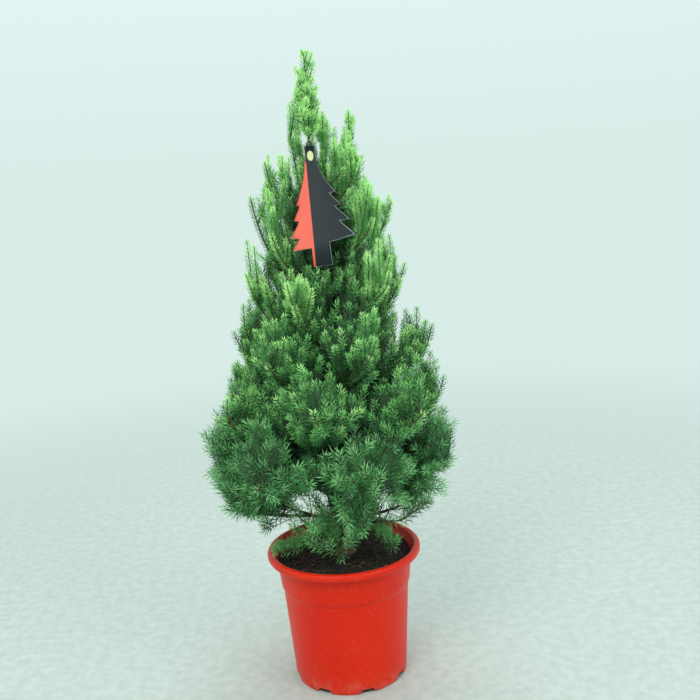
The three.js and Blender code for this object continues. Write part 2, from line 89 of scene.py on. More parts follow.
def grid_faces(rows, columns, closed_rows=False, closed_columns=True):
    """The quads between neighbouring points of a grid, whose points are numbered row by row."""
    row = np.arange(rows if closed_rows else rows - 1)[:, None]
    column = np.arange(columns if closed_columns else columns - 1)[None, :]
    next_row = (row + 1) % rows * columns
    next_column = (column + 1) % columns
    row = row * columns
    corners = [row + column, row + next_column, next_row + next_column, next_row + column]
    return np.stack(corners, axis=-1).reshape(-1, 4)


def add_mesh(name, points, faces, finish, sharp_angle=None, uv=None):
    """A mesh from an array of points and arrays of faces, smooth up to the sharp angle if it has one."""
    mesh = bpy.data.meshes.new(name)
    corners = np.concatenate([part.ravel() for part in faces])
    sizes = np.concatenate([np.full(len(part), part.shape[1]) for part in faces])
    starts = np.concatenate([[0], np.cumsum(sizes)[:-1]])
    mesh.vertices.add(len(points))
    mesh.vertices.foreach_set("co", np.asarray(points, np.float32).ravel())
    mesh.loops.add(len(corners))
    mesh.loops.foreach_set("vertex_index", corners.astype(np.int32))
    mesh.polygons.add(len(sizes))
    mesh.polygons.foreach_set("loop_start", starts.astype(np.int32))
    if uv is not None:
        mesh.uv_layers.new(name="UVMap").data.foreach_set("uv", uv[corners].astype(np.float32).ravel())
    mesh.update(calc_edges=True)
    if sharp_angle:
        mesh.shade_smooth()
        mesh.set_sharp_from_angle(angle=math.radians(sharp_angle))
    else:
        mesh.shade_flat()
    mesh.materials.append(finish)
    piece = bpy.data.objects.new(name, mesh)
    bpy.context.scene.collection.objects.link(piece)
    return piece


def stands_for(piece, slot, *nodes):
    """Puts a piece on the plant's one body, in place of the solids of these nodes. Its slot is not used."""
    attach(piece, "root")
    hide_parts(*nodes)


def paint(red, green, blue):
    """A linear colour from the screen values, 0 to 255, of a paint chip."""
    screen = np.array([red, green, blue]) / 255
    linear = np.where(screen < 0.04045, screen / 12.92, ((screen + 0.055) / 1.055) ** 2.4)
    return (*linear.tolist(), 1)


class Signal:
    """A socket that carries a number, a colour or a vector. Arithmetic on a number adds Math nodes."""

    def __init__(self, nodes, socket):
        self.nodes = nodes
        self.socket = socket

    def maths(self, operation, first, second):
        return self.nodes.node("Math", {"operation": operation}, {0: first, 1: second})

    def __add__(self, other):
        return self.maths("ADD", self, other)

    def __mul__(self, other):
        return self.maths("MULTIPLY", self, other)

    def __sub__(self, other):
        return self.maths("SUBTRACT", self, other)

    def __rsub__(self, other):
        return self.maths("SUBTRACT", other, self)

    __radd__ = __add__
    __rmul__ = __mul__

    def ramp(self, low, high):
        """0 below low, 1 above high, and a smooth rise between them."""
        sockets = {"Value": self, "From Min": low, "From Max": high}
        return self.nodes.node("MapRange", {"interpolation_type": "SMOOTHSTEP"}, sockets)


class Nodes:
    """The nodes of a material or of the world."""

    def __init__(self, tree):
        self.tree = tree

    def give(self, node, sockets):
        """Sets a node's sockets to values, or links signals to them."""
        for key, value in sockets.items():
            if isinstance(value, Signal):
                self.tree.links.new(value.socket, node.inputs[key])
            else:
                node.inputs[key].default_value = value

    def node(self, kind, settings=None, sockets=None, output=0):
        """Adds a node: its kind, its settings and what its sockets take. Gives one of its outputs."""
        made = self.tree.nodes.new("ShaderNode" + kind)
        for key, value in (settings or {}).items():
            setattr(made, key, value)
        self.give(made, sockets or {})
        return Signal(self, made.outputs[output])

    def blend(self, share, first, second):
        """A colour between two others."""
        return self.node("Mix", {"data_type": "RGBA"}, {0: share, 6: first, 7: second}, output=2)


class Finish(Nodes):
    """A material with one Principled shader, whose constant sockets are given by name."""

    def __init__(self, name, **constants):
        self.material = bpy.data.materials.new(name)
        self.material.use_nodes = True
        super().__init__(self.material.node_tree)
        self.shader = self.tree.nodes["Principled BSDF"]
        self.wear(**constants)

    def place(self):
        return self.node("TexCoord", output="Object")

    def stretched(self, scale, turn=0.0):
        """The place on the piece, stretched along its axes and turned about Z."""
        sockets = {"Vector": self.place(), "Rotation": (0, 0, turn), "Scale": scale}
        return self.node("Mapping", None, sockets)

    def noise(self, scale, detail, roughness, vector=None, distortion=0.0):
        sockets = {"Vector": vector or self.place(), "Scale": scale, "Detail": detail}
        sockets.update({"Roughness": roughness, "Distortion": distortion})
        return self.node("TexNoise", None, sockets)

    def bump(self, height, distance, strength):
        return self.node("Bump", None, {"Height": height, "Distance": distance, "Strength": strength})

    def wear(self, **sockets):
        """Sets the shader's sockets to values or to what changes over the surface."""
        self.give(self.shader, {key.replace("_", " "): value for key, value in sockets.items()})
        return self.material


def pot_finish():
    """Glossy orange-red plastic, a little faded in clouds and dusty low down, with fine scuffs."""
    finish = Finish("orange_pot_plastic", Specular_IOR_Level=0.22)
    clouds = finish.noise(9, 4, 0.6).ramp(0.3, 0.75)
    scuffs = finish.noise(3.2, 5, 0.7, finish.stretched((60, 60, 5))).ramp(0.56, 0.8)
    speck = finish.noise(420, 2, 0.5).ramp(0.66, 0.72)
    height = finish.node("SeparateXYZ", None, {"Vector": finish.place()}, output="Z")
    dust = (1 - height.ramp(0.0, 0.035)) * finish.noise(55, 4, 0.65).ramp(0.35, 0.8)
    body = finish.blend(clouds * 0.6, paint(214, 30, 2), paint(223, 47, 11))
    body = finish.blend(scuffs * 0.25, body, paint(226, 100, 70))
    body = finish.blend(speck * 0.3 + dust * 0.4, body, paint(190, 150, 128))
    grain = finish.noise(900, 2, 0.5) * 0.25 + finish.noise(28, 3, 0.5)
    roughness = clouds * 0.08 + scuffs * 0.16 + dust * 0.3 + 0.34
    return finish.wear(Base_Color=body, Roughness=roughness, Normal=finish.bump(grain, 0.0004, 0.35))


def pot_profile():
    """The outline (r, z) of a cut through the pot: up the outside, over the lip and down the inside."""
    under_lip = pot_height - lip_height
    lip_centre = (rim_radius - lip_roll, pot_height - lip_roll)
    inner = lambda z: float(wall_radius(z)) - wall
    return np.array([
        (axis_gap, base_rise),
        (foot_radius - 0.016, base_rise),
        (foot_radius - 0.0135, 0.0),
        *arc((foot_radius - foot_roll, foot_roll), foot_roll, -90, -10, 5),
        *[(float(wall_radius(z)), z) for z in np.linspace(0.008, step_height - step_depth - 0.004, 9)],
        (step_radius - step_depth + 0.0001, step_height - step_depth - 0.001),
        (step_radius - step_depth + 0.0009, step_height - step_depth + 0.0005),
        (step_radius - 0.0006, step_height - 0.0006),
        (step_radius, step_height + 0.0006),
        *[(float(wall_radius(z)), z) for z in np.linspace(step_height + 0.004, under_lip - 0.0006, 4)],
        (shoulder_radius + 0.0012, under_lip),
        (rim_radius - 0.0040, under_lip + 0.0004),
        (rim_radius - 0.0012, under_lip + 0.0014),
        (rim_radius - 0.0002, under_lip + 0.0034),
        *arc(lip_centre, lip_roll, 0, 172, 12),
        (rim_radius - 2 * lip_roll - 0.0010, pot_height - lip_roll - 0.0030),
        (inner(under_lip) + 0.0006, under_lip - 0.0005),
        *[(inner(z), z) for z in np.linspace(under_lip - 0.004, step_height + 0.001, 3)],
        *[(inner(z), z) for z in np.linspace(step_height - step_depth, floor_thickness, 4)],
        (axis_gap, floor_thickness),
    ])


def smooth(share):
    """A rise from 0 to 1 that is level at both ends."""
    return share * share * (3 - 2 * share)


def pot_points():
    """The profile turned about Z. Over each notch, the points near the foot are lifted into a low arch:
    notch_height * a smooth bump over the angle * a fade up the wall and in towards the middle."""
    profile = pot_profile()
    angle = np.linspace(0, 2 * math.pi, pot_sides, endpoint=False)
    pitch = 2 * math.pi / foot_notches
    off = np.abs((angle - first_notch + pitch / 2) % pitch - pitch / 2)
    bump = np.clip((notch_half_angle * 1.25 - off) / (notch_half_angle * 0.5), 0, 1)
    radius, z = profile[:, :1], profile[:, 1:]
    fade = np.clip(1 - z / notch_fade, 0, 1) ** 1.5 * np.clip((radius - notch_root) / notch_run_in, 0, 1)
    lifted = z + notch_height * fade * smooth(bump)
    round_points = np.stack([radius * np.cos(angle), radius * np.sin(angle), lifted], axis=-1)
    ends = np.array([[0, 0, profile[0, 1]], [0, 0, profile[-1, 1]]])
    return np.concatenate([round_points.reshape(-1, 3), ends]), len(profile)


def shell_faces(rows, columns):
    """The quads of a grid of rings, and the triangles that close it at both ends, each with one of the two
    points that are numbered after the grid's."""
    column = np.arange(columns)
    after = (column + 1) % columns
    count, last_row = rows * columns, (rows - 1) * columns
    start = np.stack([np.full(columns, count), after, column], axis=-1)
    end = np.stack([np.full(columns, count + 1), last_row + column, last_row + after], axis=-1)
    return [grid_faces(rows, columns), np.concatenate([start, end])]


points, rings = pot_points()
pot = add_mesh("nursery_pot", points, shell_faces(rings, pot_sides), pot_finish(), sharp_angle=50)
stands_for(pot, "pot", "pot")

# ---- Soil ----
# Dark peat compost, filled to a finger's width below the rim and heaped a little round the stem. Crumbs and
# short pale fibres of bark and root lie loose on it.

soil_level = 0.190
soil_roughness = 0.0022
soil_radius = float(wall_radius(soil_level)) - wall - 0.0004
soil_foot = 0.0034
soil_side = np.array([
    [0.1004, soil_level - 0.004], [0.0955, 0.150], [0.0945, 0.140], [0.0838, soil_foot],
])  # (r, z) down inside the pot's wall and its step
heap_height, heap_width = 0.0016, 0.03
wall_rise, wall_rise_from, wall_rise_over = 0.0008, 0.085, 0.015
soil_rings = 96
soil_sides = 256
crumbs = 2600
crumb_size, crumb_varies = 0.0007, 0.0022
fibres = 150
fibre_lengths = 0.005, 0.017
fibre_radius = 0.00032
flecks = 110
fleck_size, fleck_varies = 0.0005, 0.0007
rng = np.random.default_rng(7)
SCATTER = np.array([12.9898, 78.233, 37.719])  # what whole numbers are multiplied by, to look like chance
SCATTER_SCALE = 43758.5453


def grain(points, size, seed):
    """Value noise from -1 to 1: a repeatable number at each corner of a lattice, blended in between."""
    cell = np.floor(points / size)
    part = smooth(points / size - cell)
    total = 0
    for corner in itertools.product((0, 1), repeat=3):
        wave = np.sin((cell + corner) @ SCATTER + seed) * SCATTER_SCALE
        total = total + np.prod(np.where(corner, part, 1 - part), axis=-1) * (wave - np.floor(wave))
    return 2 * total - 1


def soil_height(x, y):
    """The soil's level: lumps of three sizes, a heap at the stem, and a slight rise against the wall."""
    flat = np.stack([x, y, np.zeros_like(x)], axis=-1)
    lumps = 0.5 * grain(flat, 0.018, 1) + 0.35 * grain(flat, 0.007, 2) + 0.3 * grain(flat, 0.003, 3)
    reach = np.hypot(x, y)
    heap = heap_height * np.exp(-((reach / heap_width) ** 2))
    heap = heap + wall_rise * np.clip((reach - wall_rise_from) / wall_rise_over, 0, 1)
    return soil_level + soil_roughness * 0.75 * lumps + heap


def soil_finish():
    """Peat: near black, with brown lumps and a few paler fibres and grains."""
    finish = Finish("peat_compost", Specular_IOR_Level=0.25)
    lumps = finish.noise(150, 6, 0.7)
    specks = finish.noise(800, 3, 0.6)
    strands = finish.noise(260, 3, 0.6, finish.stretched((1, 5, 1), 0.6), 1.5).ramp(0.62, 0.7)
    base = finish.blend(lumps.ramp(0.35, 0.7), paint(24, 20, 17), paint(56, 46, 37))
    base = finish.blend(specks.ramp(0.62, 0.74) * 0.5, base, paint(98, 84, 66))
    base = finish.blend(strands * 0.4, base, paint(120, 101, 74))
    relief = finish.bump(lumps + specks * 0.6, 0.0012, 0.8)
    return finish.wear(Base_Color=base, Roughness=0.86 + lumps * 0.12, Normal=relief)


def soil_points():
    """Rings outwards over the top, at soil_height, and then down inside the pot's wall."""
    angle = np.linspace(0, 2 * math.pi, soil_sides, endpoint=False)
    reach = np.concatenate([np.linspace(0.0012, 1, soil_rings) * soil_radius, soil_side[:, 0]])
    x, y = reach[:, None] * np.cos(angle), reach[:, None] * np.sin(angle)
    z = soil_height(x, y)
    z[soil_rings:] = soil_side[:, 1:]
    ends = [[0, 0, float(soil_height(np.zeros(1), np.zeros(1))[0])], [0, 0, soil_foot]]
    return np.concatenate([np.stack([x, y, z], axis=-1).reshape(-1, 3), ends]), len(reach)


def unit(vectors):
    return vectors / np.maximum(np.linalg.norm(vectors, axis=-1, keepdims=True), 1e-12)


def square_to(tangent, run):
    """Two directions square to each tangent and to each other, steady along a line with this run."""
    side = unit(np.cross(tangent, np.eye(3)[np.abs(run).argmin(axis=-1)]))
    return side, np.cross(tangent, side)


def tubes(lines, radii, sides):
    """Closed tubes along many lines at once: lines is (tubes, points, 3) and radii broadcasts to (tubes,
    points, sides). A ring of points stands square to the line at each of its points, and a point at each
    end closes it."""
    side, over = square_to(unit(np.gradient(lines, axis=1)), (lines[:, -1] - lines[:, 0])[:, None])
    angle = np.linspace(0, 2 * math.pi, sides, endpoint=False)[:, None]
    ring = np.cos(angle) * side[:, :, None] + np.sin(angle) * over[:, :, None]
    skin = lines[:, :, None] + radii[..., None] * ring
    count, rows = lines.shape[:2]
    points = np.concatenate([skin.reshape(count, -1, 3), lines[:, :1], lines[:, -1:]], axis=1)
    offset = np.arange(count)[:, None, None] * (rows * sides + 2)
    faces = [(part + offset).reshape(-1, part.shape[1]) for part in shell_faces(rows, sides)]
    return points.reshape(-1, 3), faces


def scattered(count, inner=0.012):
    """Evenly spread points on the soil: the square root keeps the middle from crowding."""
    reach = np.sqrt(rng.uniform((inner / soil_radius) ** 2, 0.97, count)) * soil_radius
    turn = rng.uniform(0, 2 * math.pi, count)
    x, y = reach * np.cos(turn), reach * np.sin(turn)
    return np.stack([x, y, soil_height(x, y)], axis=-1)


def lump_points(centres, sizes):
    """Crumbs: an eight-faced solid at each centre, each corner pushed in or out by chance."""
    corners = np.array([[1, 0, 0], [0, 1, 0], [-1, 0, 0], [0, -1, 0], [0, 0, 1], [0, 0, -1]], float)
    turned = unit(corners + rng.uniform(-0.45, 0.45, (len(centres), 6, 3)))
    pushed = turned * rng.uniform(0.6, 1.25, (len(centres), 6, 1)) * np.array([1, 1, 0.75])
    shape = np.array([[0, 1, 4], [1, 2, 4], [2, 3, 4], [3, 0, 4], [1, 0, 5], [2, 1, 5], [3, 2, 5], [0, 3, 5]])
    points = centres[:, None] + pushed * sizes[:, None, None]
    faces = shape + np.arange(len(centres))[:, None, None] * 6
    return points.reshape(-1, 3), [faces.reshape(-1, 3)]


def fibre_lines(count, shortest, longest):
    """Short lines that lie on the soil, their middles a little off the straight line between their ends."""
    middle = scattered(count, 0.02) * [0.93, 0.93, 1] + [0, 0, 0.0012]
    turn = rng.uniform(0, 2 * math.pi, count)
    along = np.stack([np.cos(turn), np.sin(turn), rng.uniform(-0.12, 0.12, count)], axis=-1)
    across = np.stack([-along[:, 1], along[:, 0], np.zeros(count)], axis=-1)
    half = rng.uniform(shortest, longest, (count, 1, 1)) / 2
    share = np.linspace(-1, 1, 6)[None, :, None]
    bow = rng.uniform(-0.3, 0.3, (count, 1, 1)) * (1 - share**2)
    return middle[:, None] + half * (share * along[:, None] + bow * across[:, None])


def add_soil_piece(name, points, faces, finish, sharp_angle=None):
    stands_for(add_mesh(name, points, faces, finish, sharp_angle), "soil", "soil")


def litter_finish(name, scale, contrast, roughness, dark, pale):
    """Dull bits of bark and root, each a little paler or darker than the next."""
    finish = Finish(name, Roughness=roughness)
    shade = finish.noise(scale, 2, 0.5).ramp(0.5 - contrast, 0.5 + contrast)
    return finish.wear(Base_Color=finish.blend(shade, dark, pale))


peat = soil_finish()
points, rings = soil_points()
faces = [part[:, ::-1] for part in shell_faces(rings, soil_sides)]
add_soil_piece("compost", points, faces, peat, sharp_angle=60)
sizes = crumb_size + crumb_varies * rng.uniform(0, 1, crumbs) ** 2.5
add_soil_piece("compost_crumbs", *lump_points(scattered(crumbs), sizes), peat)
lines = fibre_lines(fibres, *fibre_lengths)
fibre_bark = litter_finish("pale_fibres", 35, 0.15, 0.85, paint(60, 49, 35), paint(112, 95, 68))
add_soil_piece("compost_fibres", *tubes(lines, np.full((1, 1, 1), fibre_radius), 3), fibre_bark)
sizes = fleck_size + fleck_varies * rng.uniform(0, 1, flecks)
fleck_bark = litter_finish("pale_flecks", 60, 0.1, 0.8, paint(120, 108, 84), paint(176, 168, 146))
add_soil_piece("compost_flecks", *lump_points(scattered(flecks, 0.04), sizes), fleck_bark)

# ---- Trunk and boughs ----
# One stem, woody to its tip, that flares at the soil and sways a little to the left. Grey-brown bark in
# small flaking plates covers it and the seven low boughs, which leave it just above the soil.

trunk_foot = 0.1903
trunk_top = 0.812
trunk_foot_radius = 0.0105
trunk_top_radius = 0.0026
flare = 0.0065
flare_height = 0.016
sway = np.array([[0.002, 0, 0], [-0.014, 0.003, 0.2], [-0.015, -0.001, 0.55], [-0.010, 0, 1]])
trunk_rings, trunk_sides = 360, 44
bough_foot_radius = 0.0034
bough_tip_radius = 0.0018
bough_flare = 0.0022
bough_flare_length = 0.09  # as a share of the bough's
bough_rings, bough_sides = 72, 20
plate_sizes = 0.0045, 0.0024  # of the bark, in two sizes
plate_depth = 0.11  # as a share of the limb's radius
plate_stretch = 0.5  # below 1, plates are longer than wide
UP = np.array([0.0, 0.0, 1.0])


def sway_line(count):
    """A smooth curve through the sway points. Each stretch is a cubic whose slope at a point is that of a
    parabola through it and its neighbours, with the square roots of the distances between them as times."""
    height = trunk_foot + (trunk_top - trunk_foot) * sway[:, 2:]
    knots = np.concatenate([sway[:, :2], height], axis=1)
    knots = np.concatenate([[2 * knots[0] - knots[1]], knots, [2 * knots[-1] - knots[-2]]])
    gap = np.sqrt(np.linalg.norm(np.diff(knots, axis=0), axis=1))[:, None]
    slope = np.diff(knots, axis=0) / gap
    bend = (knots[2:] - knots[:-2]) / (gap[1:] + gap[:-1])
    slopes = slope[:-1] - bend + slope[1:]
    share = np.linspace(0, 1, count)[:, None]
    stretches = []
    for k in range(len(sway) - 1):
        start, end = knots[k + 1], knots[k + 2]
        out, into = slopes[k] * gap[k + 1], slopes[k + 1] * gap[k + 1]
        cubic = (2 * start - 2 * end + out + into) * share**3
        stretches.append(start + out * share + (-3 * start + 3 * end - 2 * out - into) * share**2 + cubic)
    return np.concatenate(stretches)


trunk_line = sway_line(200)


def trunk_centre(z):
    """The trunk's centre at a height or at an array of heights."""
    return np.stack([np.interp(z, trunk_line[:, 2], trunk_line[:, k]) for k in range(3)], axis=-1)


def trunk_radius(z):
    """An even taper, a little bowed, with a root flare that dies away upwards."""
    share = np.clip((z - trunk_foot) / (trunk_top - trunk_foot), 0, 1)
    taper = trunk_foot_radius + (trunk_top_radius - trunk_foot_radius) * share**0.8
    return taper + flare * np.exp(-(z - trunk_foot) / flare_height)


def bark_finish():
    """Grey-brown bark: dark in the cracks between plates, paler on their faces, with a greenish bloom."""
    finish = Finish("spruce_bark", Specular_IOR_Level=0.3)
    stretched = finish.stretched((1, 1, 0.45))
    sockets = {"Vector": stretched, "Scale": 230.0}
    plates = finish.node("TexVoronoi", {"feature": "DISTANCE_TO_EDGE"}, sockets)
    cracks = 1 - plates.ramp(0.0, 0.13)
    shade = finish.noise(120, 5, 0.65)
    base = finish.blend(shade.ramp(0.3, 0.7), paint(74, 56, 42), paint(124, 100, 76))
    base = finish.blend(finish.noise(22, 3, 0.6).ramp(0.55, 0.75) * 0.5, base, paint(104, 106, 80))
    base = finish.blend(cracks * 0.75, base, paint(34, 25, 19))
    relief = finish.bump(shade * 0.6 - cracks, 0.0008, 0.7)
    return finish.wear(Base_Color=base, Roughness=0.72 + cracks * 0.2, Normal=relief)


def bark_relief(lines, radii, sides):
    """Radii for tubes() with plates of bark: noise in two sizes, finer round the limb than along it."""
    angle = np.linspace(0, 2 * math.pi, sides, endpoint=False)
    flat = np.stack(np.broadcast_arrays(
        lines[..., 0:1] + radii[..., None] * np.cos(angle),
        lines[..., 1:2] + radii[..., None] * np.sin(angle),
        lines[..., 2:3] * plate_stretch,
    ), axis=-1)
    plates = 0.55 * grain(flat, plate_sizes[0], 5) + 0.45 * np.abs(grain(flat, plate_sizes[1], 6))
    return radii[..., None] * (1 + plate_depth * plates)


def bezier(curves, share):
    """Points on quadratic curves, given as (..., 3 points, 3), at shares of their length from 0 to 1."""
    share = np.asarray(share)[..., None]
    foot, bend, tip = curves[..., 0, :], curves[..., 1, :], curves[..., 2, :]
    return foot * (1 - share) ** 2 + bend * 2 * share * (1 - share) + tip * share**2


def bezier_tangent(curves, share):
    """The direction of quadratic curves at shares of their length."""
    return unit(bezier(curves, share + 0.01) - bezier(curves, share - 0.01))


def bezier_part(curves, start, end):
    """The stretch of quadratic curves between two shares, as curves of their own."""
    start, end = (np.broadcast_to(share, curves.shape[:-2]) for share in (start, end))
    foot, bend, tip = curves[..., 0, :], curves[..., 1, :], curves[..., 2, :]
    low, high = start[..., None], end[..., None]
    middle = foot * (1 - low) * (1 - high) + bend * (low + high - 2 * low * high) + tip * low * high
    return np.stack([bezier(curves, start), middle, bezier(curves, end)], axis=-2)


# The tiers of the crown, from the soil up. Turn (degrees from +X), reach and height place the furthest tip
# of each mass. Roots are spread over root_spread of the trunk above root. A mass's line bends at bend_out
# of its reach and bend_up of its rise, and a bough makes the limb_end share of it. Branches leave the line
# from its share first on, and each bears some twigs. Branch and twig are their lengths, lift pulls both
# upwards, and fan is how far twigs spread to the sides. Bare is the share of the line without needles.
# Needle is the needles' length, and tip is its share at a shoot's end. Spread is the needles' angle to the
# shoot in degrees, star that at its end, and gap the distance from one needle to the next. Young is how
# much of the shoots is new growth, and shades is the row of SHADES that colours them.
TIERS = [
    dict(
        name="sprig", turn=[203, 266, 334], root=0.215, root_spread=0.008, limb_end=0,
        reach=[0.110, 0.064, 0.084], height=[0.217, 0.206, 0.205], bend_out=0.6, bend_up=-2,
        first=[0.42, 0.25, 0.4], branches=10, branch=[0.014, 0.112, 0.014],
        twigs=5, twig=0.030, lift=1.5, fan=0.75, bare=0.55,
        needle=0.0130, spread=62, star=36, tip=0.9, gap=0.0009, young=0.3, shades="aged",
    ),
    dict(
        name="skirt", turn=[4, 58, 106, 164, 200, 256, 314], root=0.236, root_spread=0.030, limb_end=0.4,
        reach=[0.165, 0.178, 0.176, 0.184, 0.186, 0.186, 0.158],
        height=[0.284, 0.304, 0.310, 0.304, 0.300, 0.304, 0.282], bend_out=0.6, bend_up=0.35,
        first=0.42, branches=30, branch=0.088, twigs=4, twig=0.044, lift=0.1, fan=1.0,
        needle=0.0142, spread=62, star=36, tip=0.9, gap=0.00095, young=0.25, shades="aged",
    ),
    dict(
        name="lower", turn=[-4, 40, 88, 142, 183, 232, 286], root=0.280, root_spread=0.034, limb_end=0,
        reach=[0.186, 0.180, 0.188, 0.190, 0.202, 0.186, 0.194],
        height=[0.346, 0.372, 0.368, 0.366, 0.392, 0.352, 0.362], bend_out=0.62, bend_up=0.2,
        first=0.15, branches=29, branch=0.100, twigs=4, twig=0.044, lift=0.25, fan=1.0,
        needle=0.0140, spread=60, star=36, tip=0.9, gap=0.00095, young=0.3, shades="aged",
    ),
    dict(
        name="middle", turn=[8, 66, 118, 160, 206, 262, 318], root=0.340, root_spread=0.040, limb_end=0,
        reach=[0.180, 0.172, 0.166, 0.170, 0.178, 0.164, 0.174],
        height=[0.446, 0.452, 0.462, 0.484, 0.440, 0.440, 0.444], bend_out=0.66, bend_up=0.15,
        first=0.1, branches=30, branch=0.104, twigs=3, twig=0.048, lift=0.9, fan=0.55,
        needle=0.0112, spread=60, star=38, tip=0.72, gap=0.00082, young=0.5, shades="turning",
    ),
    dict(
        name="upper", turn=[-6, 50, 112, 176, 232, 292], root=0.420, root_spread=0.044, limb_end=0,
        reach=[0.162, 0.150, 0.150, 0.146, 0.146, 0.146],
        height=[0.540, 0.552, 0.556, 0.554, 0.524, 0.524], bend_out=0.7, bend_up=0.15,
        first=0.08, branches=21, branch=0.102, twigs=3, twig=0.052, lift=1.35, fan=0.42,
        needle=0.0094, spread=60, star=42, tip=0.64, gap=0.00062, young=0.6, shades="turning",
    ),
    dict(
        name="shoulder", turn=[14, 74, 138, 190, 246, 316], root=0.500, root_spread=0.060, limb_end=0,
        reach=[0.128, 0.116, 0.112, 0.112, 0.110, 0.118],
        height=[0.640, 0.636, 0.640, 0.622, 0.592, 0.610], bend_out=0.75, bend_up=0.15,
        first=0.06, branches=14, branch=0.104, twigs=2, twig=0.058, lift=2.1, fan=0.45,
        needle=0.0088, spread=62, star=45, tip=0.62, gap=0.0005, young=0.85, shades="young",
    ),
    dict(
        name="crest", turn=[-6, 48, 110, 172, 220, 324], root=0.584, root_spread=0.056, limb_end=0,
        reach=[0.102, 0.092, 0.088, 0.102, 0.092, 0.088],
        height=[0.740, 0.752, 0.742, 0.744, 0.688, 0.700], bend_out=0.8, bend_up=0.16,
        first=0.06, branches=10, branch=0.100, twigs=2, twig=0.056, lift=2.6, fan=0.4,
        needle=0.0084, spread=60, star=46, tip=0.62, gap=0.00046, young=1.0, shades="young",
    ),
    dict(
        name="candle", turn=[12, 74, 150, 192, 328], root=0.676, root_spread=0.060, limb_end=0,
        reach=[0.054, 0.044, 0.042, 0.076, 0.066],
        height=[0.848, 0.836, 0.830, 0.790, 0.786], bend_out=0.85, bend_up=0.2,
        first=0.06, branches=9, branch=0.080, twigs=2, twig=0.046, lift=3.0, fan=0.4,
        needle=0.0083, spread=60, star=46, tip=0.62, gap=0.00046, young=1.0, shades="young",
    ),
    dict(
        name="leader", turn=[180], root=trunk_top, root_spread=0, limb_end=0,
        reach=[0.009], height=[0.933], bend_out=0.9, bend_up=0.5,
        first=-0.16, branches=40, branch=0.040, twigs=2, twig=0.016, lift=0.9, fan=0.95, bare=0.0,
        needle=0.0087, spread=60, star=44, tip=0.65, gap=0.00050, young=0.9, shades="young",
    ),
]
ROOT_STEP = 0.382  # how far up a tier's spread the next root is, so that neighbours stay apart
ROOT_GAP = 0.0003


def growth_line(tier, i):
    """A mass's line: it leaves the trunk, bends outwards, and rises to its furthest tip."""
    turn = math.radians(tier["turn"][i])
    foot = trunk_centre(min(tier["root"] + tier["root_spread"] * ((ROOT_STEP * i) % 1), trunk_top))
    if tier["root"] == trunk_top:
        foot = foot + UP * ROOT_GAP
    reach, height = tier["reach"][i], tier["height"][i]
    tip = np.array([math.cos(turn) * reach, math.sin(turn) * reach, height])
    bend = foot + (tip - foot) * tier["bend_out"]
    bend[2] = foot[2] + (tip[2] - foot[2]) * tier["bend_up"]
    return np.array([foot, bend, tip])


masses = [(tier, i) for tier in TIERS for i in range(len(tier["turn"]))]
mass_lines = np.array([growth_line(tier, i) for tier, i in masses])
mass_names = [f"{tier['name']}_mass_{i + 1}" for tier, i in masses]


def add_limbs(name, lines, radii, sides, nodes):
    """Limbs along lines, covered in bark."""
    relief = bark_relief(lines, radii, sides)
    limbs = add_mesh(name, *tubes(lines, relief, sides), bark, sharp_angle=70)
    stands_for(limbs, "bark", *nodes)


bark = bark_finish()
trunk_heights = trunk_foot + (trunk_top - trunk_foot) * np.linspace(0, 1, trunk_rings) ** 1.25
trunk_radii = trunk_radius(trunk_heights)[None]
add_limbs("spruce_trunk", trunk_centre(trunk_heights)[None], trunk_radii, trunk_sides, ["trunk"])

boughed = [k for k, (tier, _) in enumerate(masses) if tier["limb_end"]]
bough_curves = bezier_part(mass_lines[boughed], 0.0, TIERS[1]["limb_end"])
shares = np.broadcast_to(np.linspace(0, 1, bough_rings), (len(boughed), bough_rings))
bough_radii = bough_foot_radius + (bough_tip_radius - bough_foot_radius) * shares
bough_radii = bough_radii + bough_flare * np.exp(-shares / bough_flare_length)
bough_nodes = [f"skirt_bough_{i + 1}" for i in range(len(boughed))]
add_limbs("low_boughs", bezier(bough_curves[:, None], shares), bough_radii, bough_sides, bough_nodes)

# ---- Care tag ----
# A stiff printed card in two plain colours, punched as a conifer of four tiers on a short stub. Its neck
# runs up into a strap that locks round the stem under the leader, so that it hangs in front of the crown.

tag_length = 0.178
tag_thickness = 0.0008
strap_height = 0.804
strap_width = 0.009
strap_gap = 0.0009
strap_to_tag = 0.00245
strap_rounding = 0.00025
strap_lap = 0.9  # how much thicker the strap is where its free end overlaps
hang_forward = 0.072
hang_right = 0.009
neck_half = 0.0073
neck_foot = 0.025
right_tiers = dict(
    feet=[0.072, 0.092, 0.114, 0.137], inner=[0.008, 0.0215, 0.027, 0.0315],
    outer=[0.0305, 0.0365, 0.0465, 0.052], stub_top=0.145,
)
left_tiers = dict(
    feet=[0.087, 0.109, 0.134, 0.152], inner=[0.0095, 0.0235, 0.0265, 0.0285],
    outer=[0.028, 0.0335, 0.040, 0.0395], stub_top=0.151,
)
under_tier = 0.0015  # from a tier's foot to the start of the next
spine_rise = 0.004  # how far above a tier's foot its last row meets the spine
tier_rows = 7
card_columns = 13
bow_along, bow_across = 0.0012, 0.0022  # how far the card bows forward in the middle and back at its sides
first_sweep, later_sweep = 1.6, 1.12  # how hollow the tiers' sides are: 1 is straight
stub_half = 0.0133
tag_half = right_tiers["outer"][-1]
tag_top = trunk_centre(strap_height)
tag_top = tag_top - [0, trunk_radius(strap_height) + strap_to_tag, 0]
tag_drop = math.sqrt(tag_length**2 - hang_forward**2 - hang_right**2)
tag_down = np.array([hang_right, -hang_forward, -tag_drop]) / tag_length
tag_across = unit(np.array([1.0, 0, 0]) - tag_down * tag_down[0])
tag_face = np.cross(tag_down, tag_across)
tag_turn = np.array([tag_across, -tag_down, tag_face])


